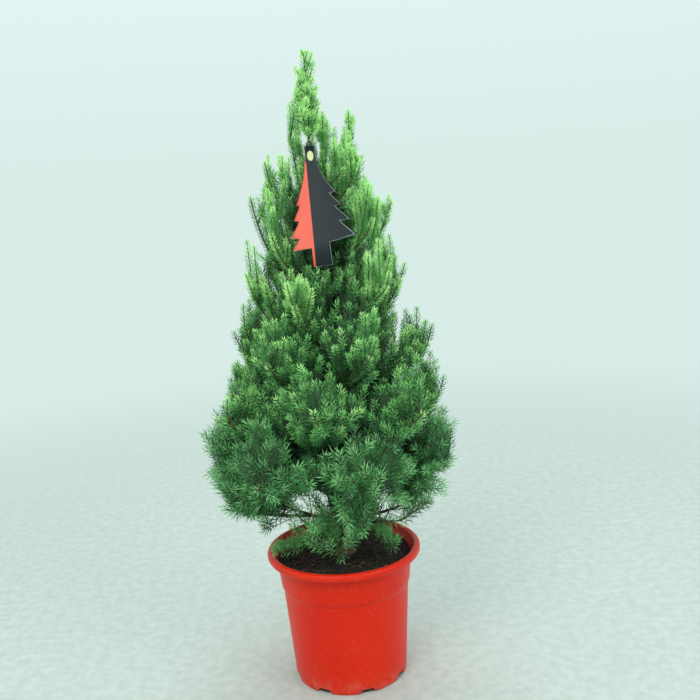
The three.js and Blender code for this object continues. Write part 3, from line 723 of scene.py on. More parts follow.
def tag_edge(feet, inner, outer, stub_top):
    """One edge from the neck down, as (half width, distance down). A tier's side sweeps out in a hollow
    curve: inner + (outer - inner) * share to the power of its sweep."""
    edge = [(neck_half, 0.0), (neck_half, neck_foot * 0.6)]
    share = np.linspace(0, 1, tier_rows)
    for k, foot in enumerate(feet):
        start = feet[k - 1] + under_tier if k else neck_foot
        half = inner[k] + (outer[k] - inner[k]) * share ** (later_sweep if k else first_sweep)
        edge += list(zip(half, start + (foot - start) * share))
    return np.array(edge + [(stub_half, stub_top), (stub_half, tag_length)])


def tag_card():
    """The card as a grid of rows. Each runs from a point of the left edge to the spine and on to a point of
    the right edge. The card bows back at its sides and a little along its length. Also gives a UV in the
    card's own plane, and the share of the way out to the edge."""
    right, left = tag_edge(**right_tiers), tag_edge(**left_tiers)
    spine = [0.0, neck_foot * 0.6]
    for k, foot in enumerate(right_tiers["feet"]):
        start = right_tiers["feet"][k - 1] - spine_rise + under_tier if k else neck_foot
        spine += list(np.linspace(start, foot - spine_rise, tier_rows))
    spine = np.array(spine + [right_tiers["stub_top"] - spine_rise, tag_length])[:, None]
    across = np.linspace(-1, 1, card_columns)
    edge = np.where(across[None, :, None] < 0, left[:, None], right[:, None])
    x = edge[..., 0] * across
    down = spine + (edge[..., 1] - spine) * np.abs(across)
    out = bow_along * np.sin(math.pi * down / tag_length) - bow_across * (x / tag_half) ** 2
    flat = np.stack([x, -down, out], axis=-1)
    uv = np.stack([0.5 + x / (2 * tag_half), 1 - down / tag_length], axis=-1)
    share = np.broadcast_to(np.abs(across), x.shape)
    hung = tag_top + flat.reshape(-1, 3) @ tag_turn
    return hung, uv.reshape(-1, 2), share.ravel(), len(right), len(across)


def card_finish():
    """Satin printed card: coral on the left of a slanted line, charcoal on the right, a fine pale line
    inside the edge, and a plain pale oval under the neck. Faint print grain, and a little gloss."""
    finish = Finish("printed_card", Specular_IOR_Level=0.28)
    spot = finish.node("UVMap", {"uv_map": "UVMap"})
    split = finish.node("SeparateXYZ", None, {"Vector": spot}, output="X")
    up = finish.node("SeparateXYZ", None, {"Vector": spot}, output="Y")
    edge = finish.node("Attribute", {"attribute_name": "edge_share"}, output="Fac")
    grain_of_print = finish.noise(1400, 2, 0.5)
    slant = split - up * 0.036 - 0.401
    right = 1 - (1 - slant.ramp(-0.004, 0.004)) * (1 - up.ramp(0.864, 0.870))
    card = finish.blend(grain_of_print, paint(16, 25, 29), paint(28, 37, 41))
    coral = finish.blend(grain_of_print, paint(214, 84, 66), paint(226, 102, 84))
    colour = finish.blend(right, coral, card)
    rule = edge.ramp(0.90, 0.915) * (1 - edge.ramp(0.93, 0.945)) * right
    colour = finish.blend(rule * 0.55, colour, paint(198, 206, 202))
    wide, tall = (split - 0.5) * 24, (up - 0.915) * 24
    oval = 1 - (wide * wide + tall * tall).ramp(0.95, 1.15)
    colour = finish.blend(oval * 0.9, colour, paint(206, 212, 150))
    relief = finish.bump(grain_of_print, 0.0001, 0.2)
    return finish.wear(Base_Color=colour, Roughness=0.42 + grain_of_print * 0.12, Normal=relief)


def core_finish():
    """The card's pale cut edge."""
    finish = Finish("card_edge", Roughness=0.8)
    fibre = finish.noise(1200, 3, 0.6)
    return finish.wear(Base_Color=finish.blend(fibre, paint(206, 208, 202), paint(232, 234, 228)))


def strap_points(sides=96):
    """The strap's cut, a flat band with rounded corners, carried round the stem. It stands off the bark a
    little, and its free end overlaps behind as a swelling in its thickness."""
    angle = np.linspace(0, 2 * math.pi, sides, endpoint=False)
    inner = trunk_radius(strap_height - strap_width / 2) + strap_gap
    half, inset = strap_width / 2, strap_width / 2 - strap_rounding
    flat_to = tag_thickness - strap_rounding
    cut = np.array([
        (0, -inset), (strap_rounding, -half), (flat_to, -half), (tag_thickness, -inset),
        (tag_thickness, inset), (flat_to, half), (strap_rounding, half), (0, inset),
    ])
    behind = np.clip(1 - np.abs(angle - math.pi / 2) / 0.55, 0, 1)
    radius = inner + cut[:, :1] * (1 + strap_lap * np.clip(behind * 6, 0, 1))
    centre = trunk_centre(strap_height)
    x, y = centre[0] + radius * np.cos(angle), centre[1] + radius * np.sin(angle)
    return np.stack([x, y, strap_height + cut[:, 1:] + 0 * angle], axis=-1), len(cut), sides


card_points, card_uv, edge_share, rows, columns = tag_card()
faces = [grid_faces(rows, columns, closed_columns=False)[:, ::-1]]
card = add_mesh("hang_tag", card_points, faces, card_finish(), sharp_angle=40, uv=card_uv)
edge_attribute = card.data.attributes.new("edge_share", "FLOAT", "POINT")
edge_attribute.data.foreach_set("value", edge_share.astype(np.float32))
card.data.materials.append(core_finish())
thick = card.modifiers.new("card_thickness", "SOLIDIFY")
thick.thickness = tag_thickness
thick.offset = 0
thick.material_offset_rim = 1
stands_for(card, "tag", "care_tag")

strap_finish = Finish("charcoal_strap", Specular_IOR_Level=0.4)
strap_shade = strap_finish.noise(300, 3, 0.5)
strap_finish.wear(
    Base_Color=strap_finish.blend(strap_shade, paint(40, 50, 54), paint(62, 72, 76)),
    Roughness=0.38 + strap_shade * 0.15,
)
points, rows, columns = strap_points()
faces = [grid_faces(rows, columns, closed_rows=True)]
strap = add_mesh("tag_strap", points.reshape(-1, 3), faces, strap_finish.material, sharp_angle=40)
stands_for(strap, "tag", "tag_loop")

# ---- Branches and twigs ----
# Each mass grows from its own line: branches leave the line on all sides, and twigs leave the branches,
# each a golden angle further round than the last. Shoots stop where the crown ends, and a few near the end
# of a mass stand up as spires. The bark is olive-brown when young, and grey-brown later.

GOLDEN_ANGLE = math.radians(137.508)
TWIST = 2.4  # how far the first branch is turned from one mass to the next
LEAN, RISE, SPREAD = 0.75, 0.75, 0.95  # a shoot's direction: along its parent, up its side, across it
SHORTEST, VARIES = 0.8, 0.4  # its length as a share of the tier's, and what chance adds to that
PLACE_VARIES = 0.03  # how far chance moves its root along its parent, and where on it that may be
PLACES = 0.02, 0.97
SAG, LIFT_SAG = 0.05, 0.08  # how far its middle sags, as a share of its length, and more by its lift
LENGTHS_TRIED = [1, 0.84, 0.68, 0.54, 0.42]
TURNS_TRIED = [0, 0.7, 1.6]  # how far a shoot that finds no room turns up and in, as a share of its length
INWARDS, BEND_TURNS = 0.8, 0.3  # how much of that turn is inwards, and how much of it its bend takes
INSET, STRAY = -0.015, 0.035  # a shoot's end keeps inside the crown by the first; a few stray by the second
STRAY_POWER = 2.4  # the higher, the fewer stray far
SPIRE_STRAY = 0.028  # how much further out a spire may stand, and the share of that at two heights
SPIRE_HEIGHTS = [0.34, 0.46], [0.25, 1]
THIN_SIDE, THIN_HEIGHT = -0.026, 0.620  # left of this x and above this z, a share of the shoots is left out
THIN_SHARE = 0.45
CROWN = np.array([
    [0.190, 0.110, 0.105], [0.250, 0.134, 0.118], [0.278, 0.160, 0.138], [0.300, 0.172, 0.168],
    [0.330, 0.176, 0.188], [0.360, 0.176, 0.194], [0.400, 0.170, 0.186], [0.430, 0.158, 0.184],
    [0.460, 0.146, 0.178], [0.500, 0.128, 0.164], [0.545, 0.118, 0.154], [0.580, 0.102, 0.144],
    [0.620, 0.092, 0.130], [0.660, 0.086, 0.118], [0.700, 0.088, 0.112], [0.740, 0.092, 0.108],
    [0.780, 0.075, 0.090], [0.800, 0.056, 0.080], [0.845, 0.036, 0.066], [0.875, 0.034, 0.035],
    [0.900, 0.020, 0.020], [0.937, 0.007, 0.007],
])  # heights, and how far the shoots reach from the trunk there, to the left and to the right
UNDERSIDE = np.array([
    [0, 0.306], [0.05, 0.302], [0.09, 0.272], [0.12, 0.258], [0.156, 0.284], [0.18, 0.300], [0.2, 0.318],
])  # distances to the side, and the crown's lowest height there
FRONT_RISE = 0.26  # how much the underside rises for each metre towards the front
HANGS = 0.085  # how far shoots hang below it in front of the stem
HANGS_AT, HANGS_WITHIN, HANGS_BEFORE = 0.020, 0.026, -0.03  # the x of those, their half width, and the y
TAG_CLEAR = np.array([
    [0.0, 0.017], [0.04, 0.020], [0.08, 0.036], [0.13, 0.056], [0.19, 0.056],
])  # distances down the tag, and half the width that shoots leave free in front of it
TAG_CLEARANCE = 0.004
MOUTH_RADIUS = 0.1005
SOIL_CLEARANCE = 0.0035
# Each use of chance has a number: a shoot's length and place, a needle's turn and size, a shoot's mood, how
# far it strays, and whether it is left out.
LENGTH_CHANCE, PLACE_CHANCE, TURN_CHANCE, SIZE_CHANCE = 3, 5, 11, 13
MOOD_CHANCE, STRAY_CHANCE, THIN_CHANCE = 17, 23, 29
CHILD_SEED, NEXT_SEED = 7.31, 1.93  # what a shoot's seed takes from its parent's, and from its number


def chance(seeds, item, use):
    """A repeatable number from 0 to 1 for each seed, item and use."""
    wave = np.sin(seeds * SCATTER[0] + item * SCATTER[1] + use * SCATTER[2]) * SCATTER_SCALE
    return wave - np.floor(wave)


def crown_reach(points):
    """How far each point is from the trunk, and how far the crown reaches there. The reach goes evenly from
    that on the left to that on the right with the cosine of the angle round the trunk."""
    out = points[:, :2] - trunk_centre(points[:, 2])[:, :2]
    from_trunk = np.linalg.norm(out, axis=1)
    left, right = (np.interp(points[:, 2], CROWN[:, 0], CROWN[:, k]) for k in (1, 2))
    return from_trunk, left + (right - left) * (0.5 + 0.5 * out[:, 0] / np.maximum(from_trunk, 1e-6))


def in_the_open(points, margin=0.0, low=False):
    """Whether points may hold foliage: inside the crown's outline plus a margin, above its underside, the
    soil and the pot's rim, and not on the care tag or in front of it. The underside is an arch over the
    pot. Low shoots may hang below it."""
    reach = np.hypot(points[:, 0], points[:, 1])
    from_trunk, limit = crown_reach(points)
    inside = (from_trunk < limit + margin) & (points[:, 2] < CROWN[-1, 0])
    ground = np.where(reach > MOUTH_RADIUS, pot_height, soil_level + soil_roughness) + SOIL_CLEARANCE
    if not low:
        arch = np.interp(np.abs(points[:, 0]), *UNDERSIDE.T) + FRONT_RISE * np.maximum(-points[:, 1], 0)
        hanging = np.clip(1.4 - np.abs(points[:, 0] - HANGS_AT) / HANGS_WITHIN, 0, 1)
        arch -= HANGS * hanging * (points[:, 1] < HANGS_BEFORE)
        ground = np.maximum(ground, arch - margin)
    on_tag = (points - tag_top) @ tag_turn.T
    over = (np.abs(on_tag[:, 0]) < np.interp(-on_tag[:, 1], *TAG_CLEAR.T)) & (on_tag[:, 1] < 0.002)
    over &= (on_tag[:, 1] > -tag_length - TAG_CLEARANCE) & (on_tag[:, 2] > -TAG_CLEARANCE)
    return inside & (points[:, 2] > ground) & ~over


def points_along(curves, count):
    """Points along each of the curves, from its foot to its tip."""
    return bezier(curves[:, None], np.broadcast_to(np.linspace(0, 1, count), (len(curves), count)))


line_points = points_along(mass_lines, 11)
line_starts = line_points[:, :-1]
line_steps = np.diff(line_points, axis=1)


def in_own_space(points, own, slack):
    """Whether points are nearer to their own mass's line than to any other's, give or take some slack."""
    offset = points[:, None, None] - line_starts
    share = (offset * line_steps).sum(-1) / (line_steps**2).sum(-1)
    gap = np.linalg.norm(offset - np.clip(share, 0, 1)[..., None] * line_steps, axis=-1).min(axis=-1)
    each = np.arange(len(points))
    to_own = gap[each, own]
    gap[each, own] = np.inf
    return to_own < gap.min(axis=1) + slack


def side_shoots(parents, own, seeds, count, first, last, length, lift, taper, fan=1.0):
    """Shoots off quadratic curves. Shoot i leaves its parent at a share between last and first, in the
    direction tangent * lean + (side * cos(angle) * rise + across * sin(angle) * spread) * fan + up * lift,
    where the angle grows by the golden angle. It is shorter towards its parent's tip, by taper, and its
    middle sags."""
    item = np.arange(count)
    share = np.broadcast_to(last + (first - last) * item / max(1, count - 1), (len(parents), count))
    share = np.clip(share + PLACE_VARIES * (chance(seeds[:, None], item, PLACE_CHANCE) - 0.5), *PLACES)
    roots = bezier(parents[:, None], share)
    tangent = bezier_tangent(parents[:, None], share)
    round_trunk = np.stack([-roots[..., 1], roots[..., 0], np.zeros(share.shape)], axis=-1)
    side = unit(np.cross(tangent, round_trunk))
    across = np.cross(side, tangent)
    angle = (item * GOLDEN_ANGLE + seeds[:, None] * TWIST)[..., None]
    away = side * np.cos(angle) * RISE + across * np.sin(angle) * SPREAD
    direction = unit(tangent * LEAN + away * fan + UP * lift)
    varied = SHORTEST + VARIES * chance(seeds[:, None], item, LENGTH_CHANCE)
    long = length * varied * (1 - taper * share**2)
    reach = direction * long[..., None]
    sag = UP * long[..., None] * (SAG + LIFT_SAG * lift)
    curves = np.stack([roots, roots + reach * 0.5 - sag, roots + reach], axis=-2)
    own = None if own is None else np.broadcast_to(own[:, None], share.shape).ravel()
    return curves.reshape(-1, 3, 3), own, (seeds[:, None] * CHILD_SEED + item * NEXT_SEED + 0.5).ravel()


def thinned(curves, seeds):
    """Which shoots stay: high up on the left, where the crown is thin, chance leaves some out."""
    elsewhere = (curves[:, 2, 0] > THIN_SIDE) | (curves[:, 2, 2] < THIN_HEIGHT)
    return elsewhere | (chance(seeds, 2, THIN_CHANCE) > THIN_SHARE)


def turned_in(curves, turn):
    """Shoots with their ends turned upwards and towards the trunk, by a share of their length."""
    run = curves[:, 2] - curves[:, 0]
    long = np.linalg.norm(run, axis=1, keepdims=True)
    inwards = unit((trunk_centre(curves[:, 0, 2]) - curves[:, 0]) * [1, 1, 0])
    run_now = unit(run + (inwards * INWARDS + UP) * long * turn) * long
    bends = curves[:, 1] + (run_now - run) * BEND_TURNS
    return np.stack([curves[:, 0], bends, curves[:, 0] + run_now], axis=1)


def fitted(curves, own, seeds, low, lengths, spires):
    """The straightest and then the longest version of each shoot that has room, without those that have
    none. Spires may stand further out, more so higher up."""
    chosen = np.zeros(len(curves))
    curves = curves.copy()
    for turn, share in itertools.product(TURNS_TRIED, lengths):
        waiting = np.flatnonzero(chosen == 0)
        tried = turned_in(curves[waiting], turn)
        room = np.ones(len(waiting), bool)
        ragged = INSET + STRAY * chance(seeds[waiting], 1, STRAY_CHANCE) ** STRAY_POWER
        if spires:
            ragged = INSET + SPIRE_STRAY * np.interp(tried[:, 2, 2], *SPIRE_HEIGHTS)
        for at in (0.5, 1.0, 1.1):
            ends = bezier(tried, np.full(len(waiting), share * at))
            room &= in_the_open(ends, ragged, low)
            if own is not None:
                room &= in_own_space(ends, own[waiting], OWN_SPACE_SLACK)
        chosen[waiting[room]] = share
        curves[waiting[room]] = tried[room]
    kept = chosen > 0
    return bezier_part(curves[kept], 0.0, chosen[kept]), None if own is None else own[kept], seeds[kept]


def grow(parents, own, seeds, low=False, lengths=LENGTHS_TRIED, spires=False, **shoots):
    """Side shoots off curves, as far as they have room: their curves, their masses' numbers, and seeds."""
    return fitted(*side_shoots(parents, own, seeds, **shoots), low, lengths, spires)


def trimmed(curves):
    """Each mass's line up to where it would leave the crown."""
    share = np.linspace(0.5, 1, 21)
    along = bezier(curves[:, None], np.broadcast_to(share, (len(curves), len(share))))
    inside = in_the_open(along.reshape(-1, 3), STEM_MARGIN, True).reshape(len(curves), -1)
    last = np.clip(np.cumprod(inside, axis=1).sum(axis=1), 1, None) - 1
    return bezier_part(curves, 0.0, share[last])


def twig_finish():
    """Dull twig bark, from olive-brown to a paler grey-brown."""
    finish = Finish("twig_bark", Specular_IOR_Level=0.3)
    shade = finish.noise(160, 3, 0.6)
    return finish.wear(
        Base_Color=finish.blend(shade.ramp(0.35, 0.65), paint(60, 56, 40), paint(106, 93, 62)),
        Roughness=0.7 + shade * 0.15,
    )


# Masses that share needle pieces: a name, the tiers in it, and the material slot of its needles.
GROUPS = [
    ("skirt", ["sprig", "skirt"], "old_needles"),
    ("lower", ["lower"], "old_needles"),
    ("middle", ["middle"], "old_needles"),
    ("upper", ["upper"], "old_needles"),
    ("shoulder", ["shoulder"], "old_needles"),
    ("inner", ["inner"], "old_needles"),
    ("top", ["crest", "candle", "leader"], "young_needles"),
]
STANDS_WITH = {"inner": ["upper", "shoulder", "crest"]}  # the tiers that a group's shoots stand among
STEM_FOOT_RADIUS = 0.0028  # at most, and no more than a share of the trunk's there
STEM_SHARE = 0.6
STEM_TIP_RADIUS = 0.0013
BRANCH_RADII = 0.00105, 0.00050
TWIG_RADII = 0.00060, 0.00035
DRY_RADII = 0.00084, 0.00049
STEM_MARGIN = -0.002  # how far a mass's own line may go beyond the crown's reach
OWN_SPACE_SLACK = 0.060  # how far a mass's shoots may stand in the next one's space
BARE = 0.35  # the share of a mass's line without needles, where its tier doesn't say
STEM_GAP, NEEDLE_GAP = 0.003, 0.01  # from a bough's end to the stem's start, and to the first needles
LAST_BRANCH = 0.94  # the share of a line at which its last branch stands
LAST_TWIG = {"sprig": 0.84, "skirt": 0.84, "lower": 0.84, "middle": 0.74}  # the same for a branch's twigs
LAST_TWIG_ELSEWHERE = 0.7
TWIG_SHARE = 0.65  # how long a twig may be, as a share of its branch
TWIG_LIFT = 0.7  # its pull upwards, as a share of the tier's
# How many spires a mass has, and how long they are.
SPIRES = {"lower": (5, 0.072), "middle": (6, 0.078), "upper": (6, 0.084), "shoulder": (4, 0.080)}

shoots = {}
for tier in TIERS:
    name, limb_end = tier["name"], tier["limb_end"]
    own = np.array([k for k, (other, _) in enumerate(masses) if other is tier])
    low = name == "sprig"
    lines = trimmed(mass_lines[own])
    stems = bezier_part(lines, limb_end + STEM_GAP, 1.0)
    needled = bezier_part(lines, max(tier.get("bare", BARE), limb_end + NEEDLE_GAP), 1.0)
    branches, branch_own, branch_seeds = grow(
        lines, None if low else own, own + 1.0, low, count=tier["branches"],
        first=np.reshape(tier["first"], (-1, 1)), last=LAST_BRANCH,
        length=np.reshape(tier["branch"], (-1, 1)), lift=tier["lift"], taper=0.3,
    )
    kept = thinned(branches, branch_seeds)
    branches, branch_seeds = branches[kept], branch_seeds[kept]
    longest = np.linalg.norm(branches[:, 2] - branches[:, 0], axis=1, keepdims=True) * TWIG_SHARE
    twigs, _, _ = grow(
        branches, None if low else branch_own[kept], branch_seeds, low, count=tier["twigs"], first=0.2,
        last=LAST_TWIG.get(name, LAST_TWIG_ELSEWHERE), length=np.minimum(tier["twig"], longest),
        lift=tier["lift"] * TWIG_LIFT, taper=0.2, fan=tier["fan"],
    )
    if name in SPIRES:
        count, length = SPIRES[name]
        spires, _, _ = grow(
            lines, own, own + 0.5, spires=True, count=count, first=0.6, last=0.97, length=length, lift=2.4,
            taper=0, fan=0.7,
        )
        branches = np.concatenate([branches, spires])
    shoots[name] = dict(stems=stems, needled=needled, branches=branches, twigs=twigs)

# Shoots that the trunk itself bears between the whorls fill the crown's middle, behind the tag too.
INNER = dict(
    name="inner", branches=210, branch=[0.078, 0.150], twigs=3, twig=0.036,
    needle=0.0104, spread=56, star=24, tip=0.7, gap=0.0010, young=0.6, shades="turning",
)
INNER_HEIGHTS = 0.34, 0.545, 0.75  # of the stretch of the trunk that bears them
INNER_LENGTHS = [1, 0.85, 0.7, 0.55, 0.4, 0.28]
INNER_SAG = 0.008
inner_from, inner_middle, inner_to = (trunk_centre(height) for height in INNER_HEIGHTS)
bearing = np.array([[inner_from, 2 * inner_middle - (inner_from + inner_to) / 2, inner_to]])
branches, _, branch_seeds = grow(
    bearing, None, np.array([99.0]), lengths=INNER_LENGTHS, count=INNER["branches"], first=0.02, last=0.98,
    length=np.linspace(*INNER["branch"], INNER["branches"])[None], lift=-0.25, taper=0,
)
kept = thinned(branches, branch_seeds)
branches, branch_seeds = branches[kept], branch_seeds[kept]
branches[:, 1] -= UP * INNER_SAG
twigs, _, _ = grow(
    branches, None, branch_seeds, count=INNER["twigs"], first=0.3, last=0.95, length=INNER["twig"],
    lift=1.2, taper=0.2, fan=0.7,
)
top = trunk_centre(np.array([[0.700, 0.756, trunk_top]]))
shoots["inner"] = dict(stems=top[:0], needled=top, branches=branches, twigs=twigs)

# Dry twigs, long without needles, cross the gap under the crown.
shoots["skirt"]["dry"], _, _ = grow(
    bough_curves, None, np.arange(len(boughed)) + 7.0, True, count=6, first=0.2, last=0.95, length=0.045,
    lift=0, taper=0.2,
)


def stood_for(group, tier_names):
    """The masses whose place a group's shoots take."""
    names = [*tier_names, *STANDS_WITH.get(group, [])]
    return [mass for mass in mass_names if mass.split("_")[0] in names]


twig_bark = twig_finish()
for group, tier_names, _ in GROUPS:
    points, faces, offset = [], [], 0
    for grown in (shoots[name] for name in tier_names):
        foot_radii = trunk_radius(grown["stems"][:, 0, 2])[:, None] * STEM_SHARE
        foot_radii = np.minimum(STEM_FOOT_RADIUS, foot_radii)
        share = np.linspace(0, 1, 12)
        for curves, radii, sides in (
            (grown["stems"], foot_radii * (1 - share) + STEM_TIP_RADIUS * STEM_SHARE * share, 6),
            (grown["branches"], np.linspace(*BRANCH_RADII, 5)[None], 4),
            (grown["twigs"], np.linspace(*TWIG_RADII, 4)[None], 3),
            (grown.get("dry", ()), np.linspace(*DRY_RADII, 4)[None], 4),
        ):
            if not len(curves):
                continue
            more, parts = tubes(points_along(curves, radii.shape[1]), radii[..., None], sides)
            points.append(more)
            faces += [part + offset for part in parts]
            offset += len(more)
    piece = add_mesh(f"{group}_twigs", np.concatenate(points), faces, twig_bark)
    stands_for(piece, "bark", *stood_for(group, tier_names))

# ---- Needles ----
# Four-sided needles stand out of every twig in a close spiral. The new growth at the tips is short, pressed
# forward and yellow-green. Further back, needles are longer, stand out more and turn blue-green with age.
# Inside the crown they are painted darker, as painted shade, and on the outer and higher shoots lighter, as
# painted light.

# The darkest paint of each row is painted shade, picked inside the crown where little light falls. Further up
# each row the paints are partly painted light on the outer and higher shoots, and partly new growth.
NEEDLE_PAINTS = {
    "painted_shade": paint(22, 58, 38),
    "old": paint(48, 106, 58),
    "bloomed_and_painted_light": paint(84, 150, 86),
    "silvered_and_painted_light": paint(130, 190, 124),
    "grown": paint(92, 156, 86),
    "fresh": paint(128, 196, 112),
    "tip": paint(184, 238, 150),
}
SHADES = {  # from the shade inside the crown to the growing tips
    "aged": ["painted_shade", "old", "bloomed_and_painted_light", "silvered_and_painted_light", "fresh"],
    "turning": ["painted_shade", "old", "bloomed_and_painted_light", "fresh", "tip"],
    "young": ["painted_shade", "old", "grown", "fresh", "tip"],
}
NEEDLE_HALF_WIDTH = 0.00074
NEEDLE_DEPTH = 0.0008
WIDEST_AT = 0.45  # the share of a needle's length
UPSWEEP = 0.10  # how much the older needles turn upwards
FEWEST_NEEDLES = 8  # on a shoot
END_CROWDING = 1.12  # above 1, needles stand closer towards a shoot's end
TURN_VARIES, STAND_VARIES = 0.5, 18  # what chance adds round the shoot in radians, and to spread in degrees
SIZE_FROM, SIZE_VARIES = 0.82, 0.3  # a needle's length as a share of the tier's, and what chance adds
NEEDLED_FROM = 0.3  # the share of a branch below which its needles have fallen
TIP_LENGTH = 0.012  # how far back from a shoot's end its needles change their stand and length
NEW_LENGTH = 0.008  # how far back the pale new growth goes, and what chance adds, also in the high tiers
NEW_VARIES, NEW_VARIES_HIGH = 0.009, 0.016
NEEDLE_MARGIN = 0.040  # how far needles may stand out of the crown's reach
SEED_STEP, SEED_GAP = 1.37, 51.7  # between the seeds of two shoots, and of stems, branches and twigs
# A needle's shade is the whole part of a score, and these are what adds to it: light, new growth in the
# light, the shoot's own mood, the shoot's end, new growth there, and the two kinds of high tier. The light
# terms are painted light and shade.
SCORE_FROM, LIGHT_SCORE, YOUNG_SCORE, MOOD_SCORE = 0.55, 1.3, 0.7, 1.1
END_SCORE, NEW_SCORE, HIGH_SCORE, HIGHEST_SCORE = 0.8, 1.4, 0.5, 0.2
HIGH_YOUNG = 0.8  # from which share of new growth a tier counts as high
# Light grows from 0 to 1 over a share of the crown's reach beyond the shaded share, and over a height.
SHADED_SHARE, LIT_OVER = 0.3, 0.55
LIT_FROM, LIT_RISE = 0.72, 0.06
# Sprigs under the crown are painted lighter than fully lit shoots: painted light.
SPRIG_LIGHT = 1.5


def needle_points(roots, direction, outward, length, half_width, depth):
    """Four corners of each needle: its root, its left and right edge a little short of the middle and raised
    outwards by depth, and its tip. So it is widest near the middle, keeled below and pointed at both ends."""
    across = unit(np.cross(direction, outward))
    raised = np.cross(across, direction)
    middle = roots + direction * length * WIDEST_AT + raised * depth
    tips = roots + direction * length
    return np.stack([roots, middle - across * half_width, middle + across * half_width, tips], axis=1)


NEEDLE_FACES = np.array([[0, 2, 1], [3, 1, 2], [0, 1, 3], [0, 3, 2]])


def needles_on(curves, seeds, tier, twig_radius, light, low):
    """Needles in a golden spiral along each curve, with the shade that each takes. They have the tier's
    length and spread along most of a shoot, and get shorter and turn forward within TIP_LENGTH of its end."""
    lengths = np.linalg.norm(np.diff(points_along(curves, 5), axis=1), axis=-1).sum(axis=1)
    counts = np.maximum(FEWEST_NEEDLES, (lengths / tier["gap"]).astype(int))
    shoot = np.repeat(np.arange(len(curves)), counts)
    item = np.arange(len(shoot)) - np.repeat(np.cumsum(counts) - counts, counts)
    share = (item + 0.5) / counts[shoot]
    share = 1 - (1 - share) ** END_CROWDING
    own_curve = curves[shoot]
    centre = bezier(own_curve, share)
    tangent = bezier_tangent(own_curve, share)
    side, over = square_to(tangent, own_curve[:, 2] - own_curve[:, 0])
    wild = chance(seeds[shoot], item, TURN_CHANCE)
    size = SIZE_FROM + SIZE_VARIES * chance(seeds[shoot], item, SIZE_CHANCE)
    angle = (item * GOLDEN_ANGLE + TURN_VARIES * wild)[:, None]
    outward = np.cos(angle) * side + np.sin(angle) * over
    to_end = (1 - share) * lengths[shoot]
    age = smooth(np.clip(to_end / TIP_LENGTH, 0, 1))
    stand = tier["star"] + (tier["spread"] - tier["star"]) * age + STAND_VARIES * (wild - 0.5)
    stand = np.radians(stand)[:, None]
    direction = unit(tangent * np.cos(stand) + outward * np.sin(stand) + UP * UPSWEEP * age[:, None])
    length = (tier["needle"] * (tier["tip"] + (1 - tier["tip"]) * age) * size)[:, None]
    roots = centre + outward * twig_radius * 0.5
    corners = needle_points(roots, direction, outward, length, NEEDLE_HALF_WIDTH, NEEDLE_DEPTH)
    mood = chance(seeds, 3, MOOD_CHANCE)[shoot]
    light = light[shoot]
    young = tier["young"]
    high = young >= HIGH_YOUNG
    new = np.clip(1.2 - to_end / (NEW_LENGTH + (NEW_VARIES_HIGH if high else NEW_VARIES) * mood), 0, 1)
    score = SCORE_FROM + LIGHT_SCORE * light + YOUNG_SCORE * young * light + MOOD_SCORE * (mood - 0.5)
    score += new * (END_SCORE + NEW_SCORE * young)
    score += HIGH_SCORE * high + HIGHEST_SCORE * (young == 1.0)
    colour = np.clip(score.astype(int), 0, 4)
    keep = in_the_open(corners[:, 3], NEEDLE_MARGIN, low)
    return corners[keep], colour[keep]


for group, tier_names, slot in GROUPS:
    every, colours = [], []
    for tier in [tier for tier in [*TIERS, INNER] if tier["name"] in tier_names]:
        grown = shoots[tier["name"]]
        for curves, use, radius in (
            (grown["needled"], 1, STEM_TIP_RADIUS),
            (bezier_part(grown["branches"], NEEDLED_FROM, 1.0), 2, BRANCH_RADII[0]),
            (grown["twigs"], 3, TWIG_RADII[0]),
        ):
            if not len(curves):
                continue
            # Painted light and shade: needles further out from the trunk and higher up take lighter paints,
            # those inside the crown darker ones.
            from_trunk, limit = crown_reach(curves[:, 2])
            light = np.clip((from_trunk / limit - SHADED_SHARE) / LIT_OVER, 0, 1)
            light = np.maximum(light, np.clip((curves[:, 2, 2] - LIT_FROM) / LIT_RISE, 0, 1))
            sprig = tier["name"] == "sprig"
            # Painted light: sprigs take more than full light, however far under the crown they hang.
            if sprig:
                light = np.full(len(curves), SPRIG_LIGHT)
            seeds = np.arange(len(curves)) * SEED_STEP + use * SEED_GAP
            corners, colour = needles_on(curves, seeds, tier, radius, light, sprig or use == 1)
            every.append(corners)
            shades = np.array([list(NEEDLE_PAINTS).index(shade) for shade in SHADES[tier["shades"]]])
            colours.append(shades[colour])
    every, colours = np.concatenate(every), np.concatenate(colours)
    for number, (shade, colour) in enumerate(NEEDLE_PAINTS.items()):
        chosen = every[colours == number]
        if not len(chosen):
            continue
        faces = (NEEDLE_FACES + np.arange(len(chosen))[:, None, None] * 4).reshape(-1, 3)
        finish = bpy.data.materials.get(f"{shade}_needles") or Finish(
            f"{shade}_needles", Base_Color=colour, Roughness=0.58, Specular_IOR_Level=0.22,
        ).material
        piece = add_mesh(f"{group}_{shade}_needles", chosen.reshape(-1, 3), [faces], finish)
        stands_for(piece, slot, *stood_for(group, tier_names))

# ---- Floor, light and camera ----
# A pale floor that fades into a pale, cool backdrop, soft light from above and both sides, and a camera
# that looks down on the pot from the height of the crown's shoulder.

BACKDROP = paint(230, 248, 247)
HORIZON = paint(216, 236, 232)
HORIZON_FADES = 0.25  # how high up, as the Z of a direction, the horizon's colour has faded away


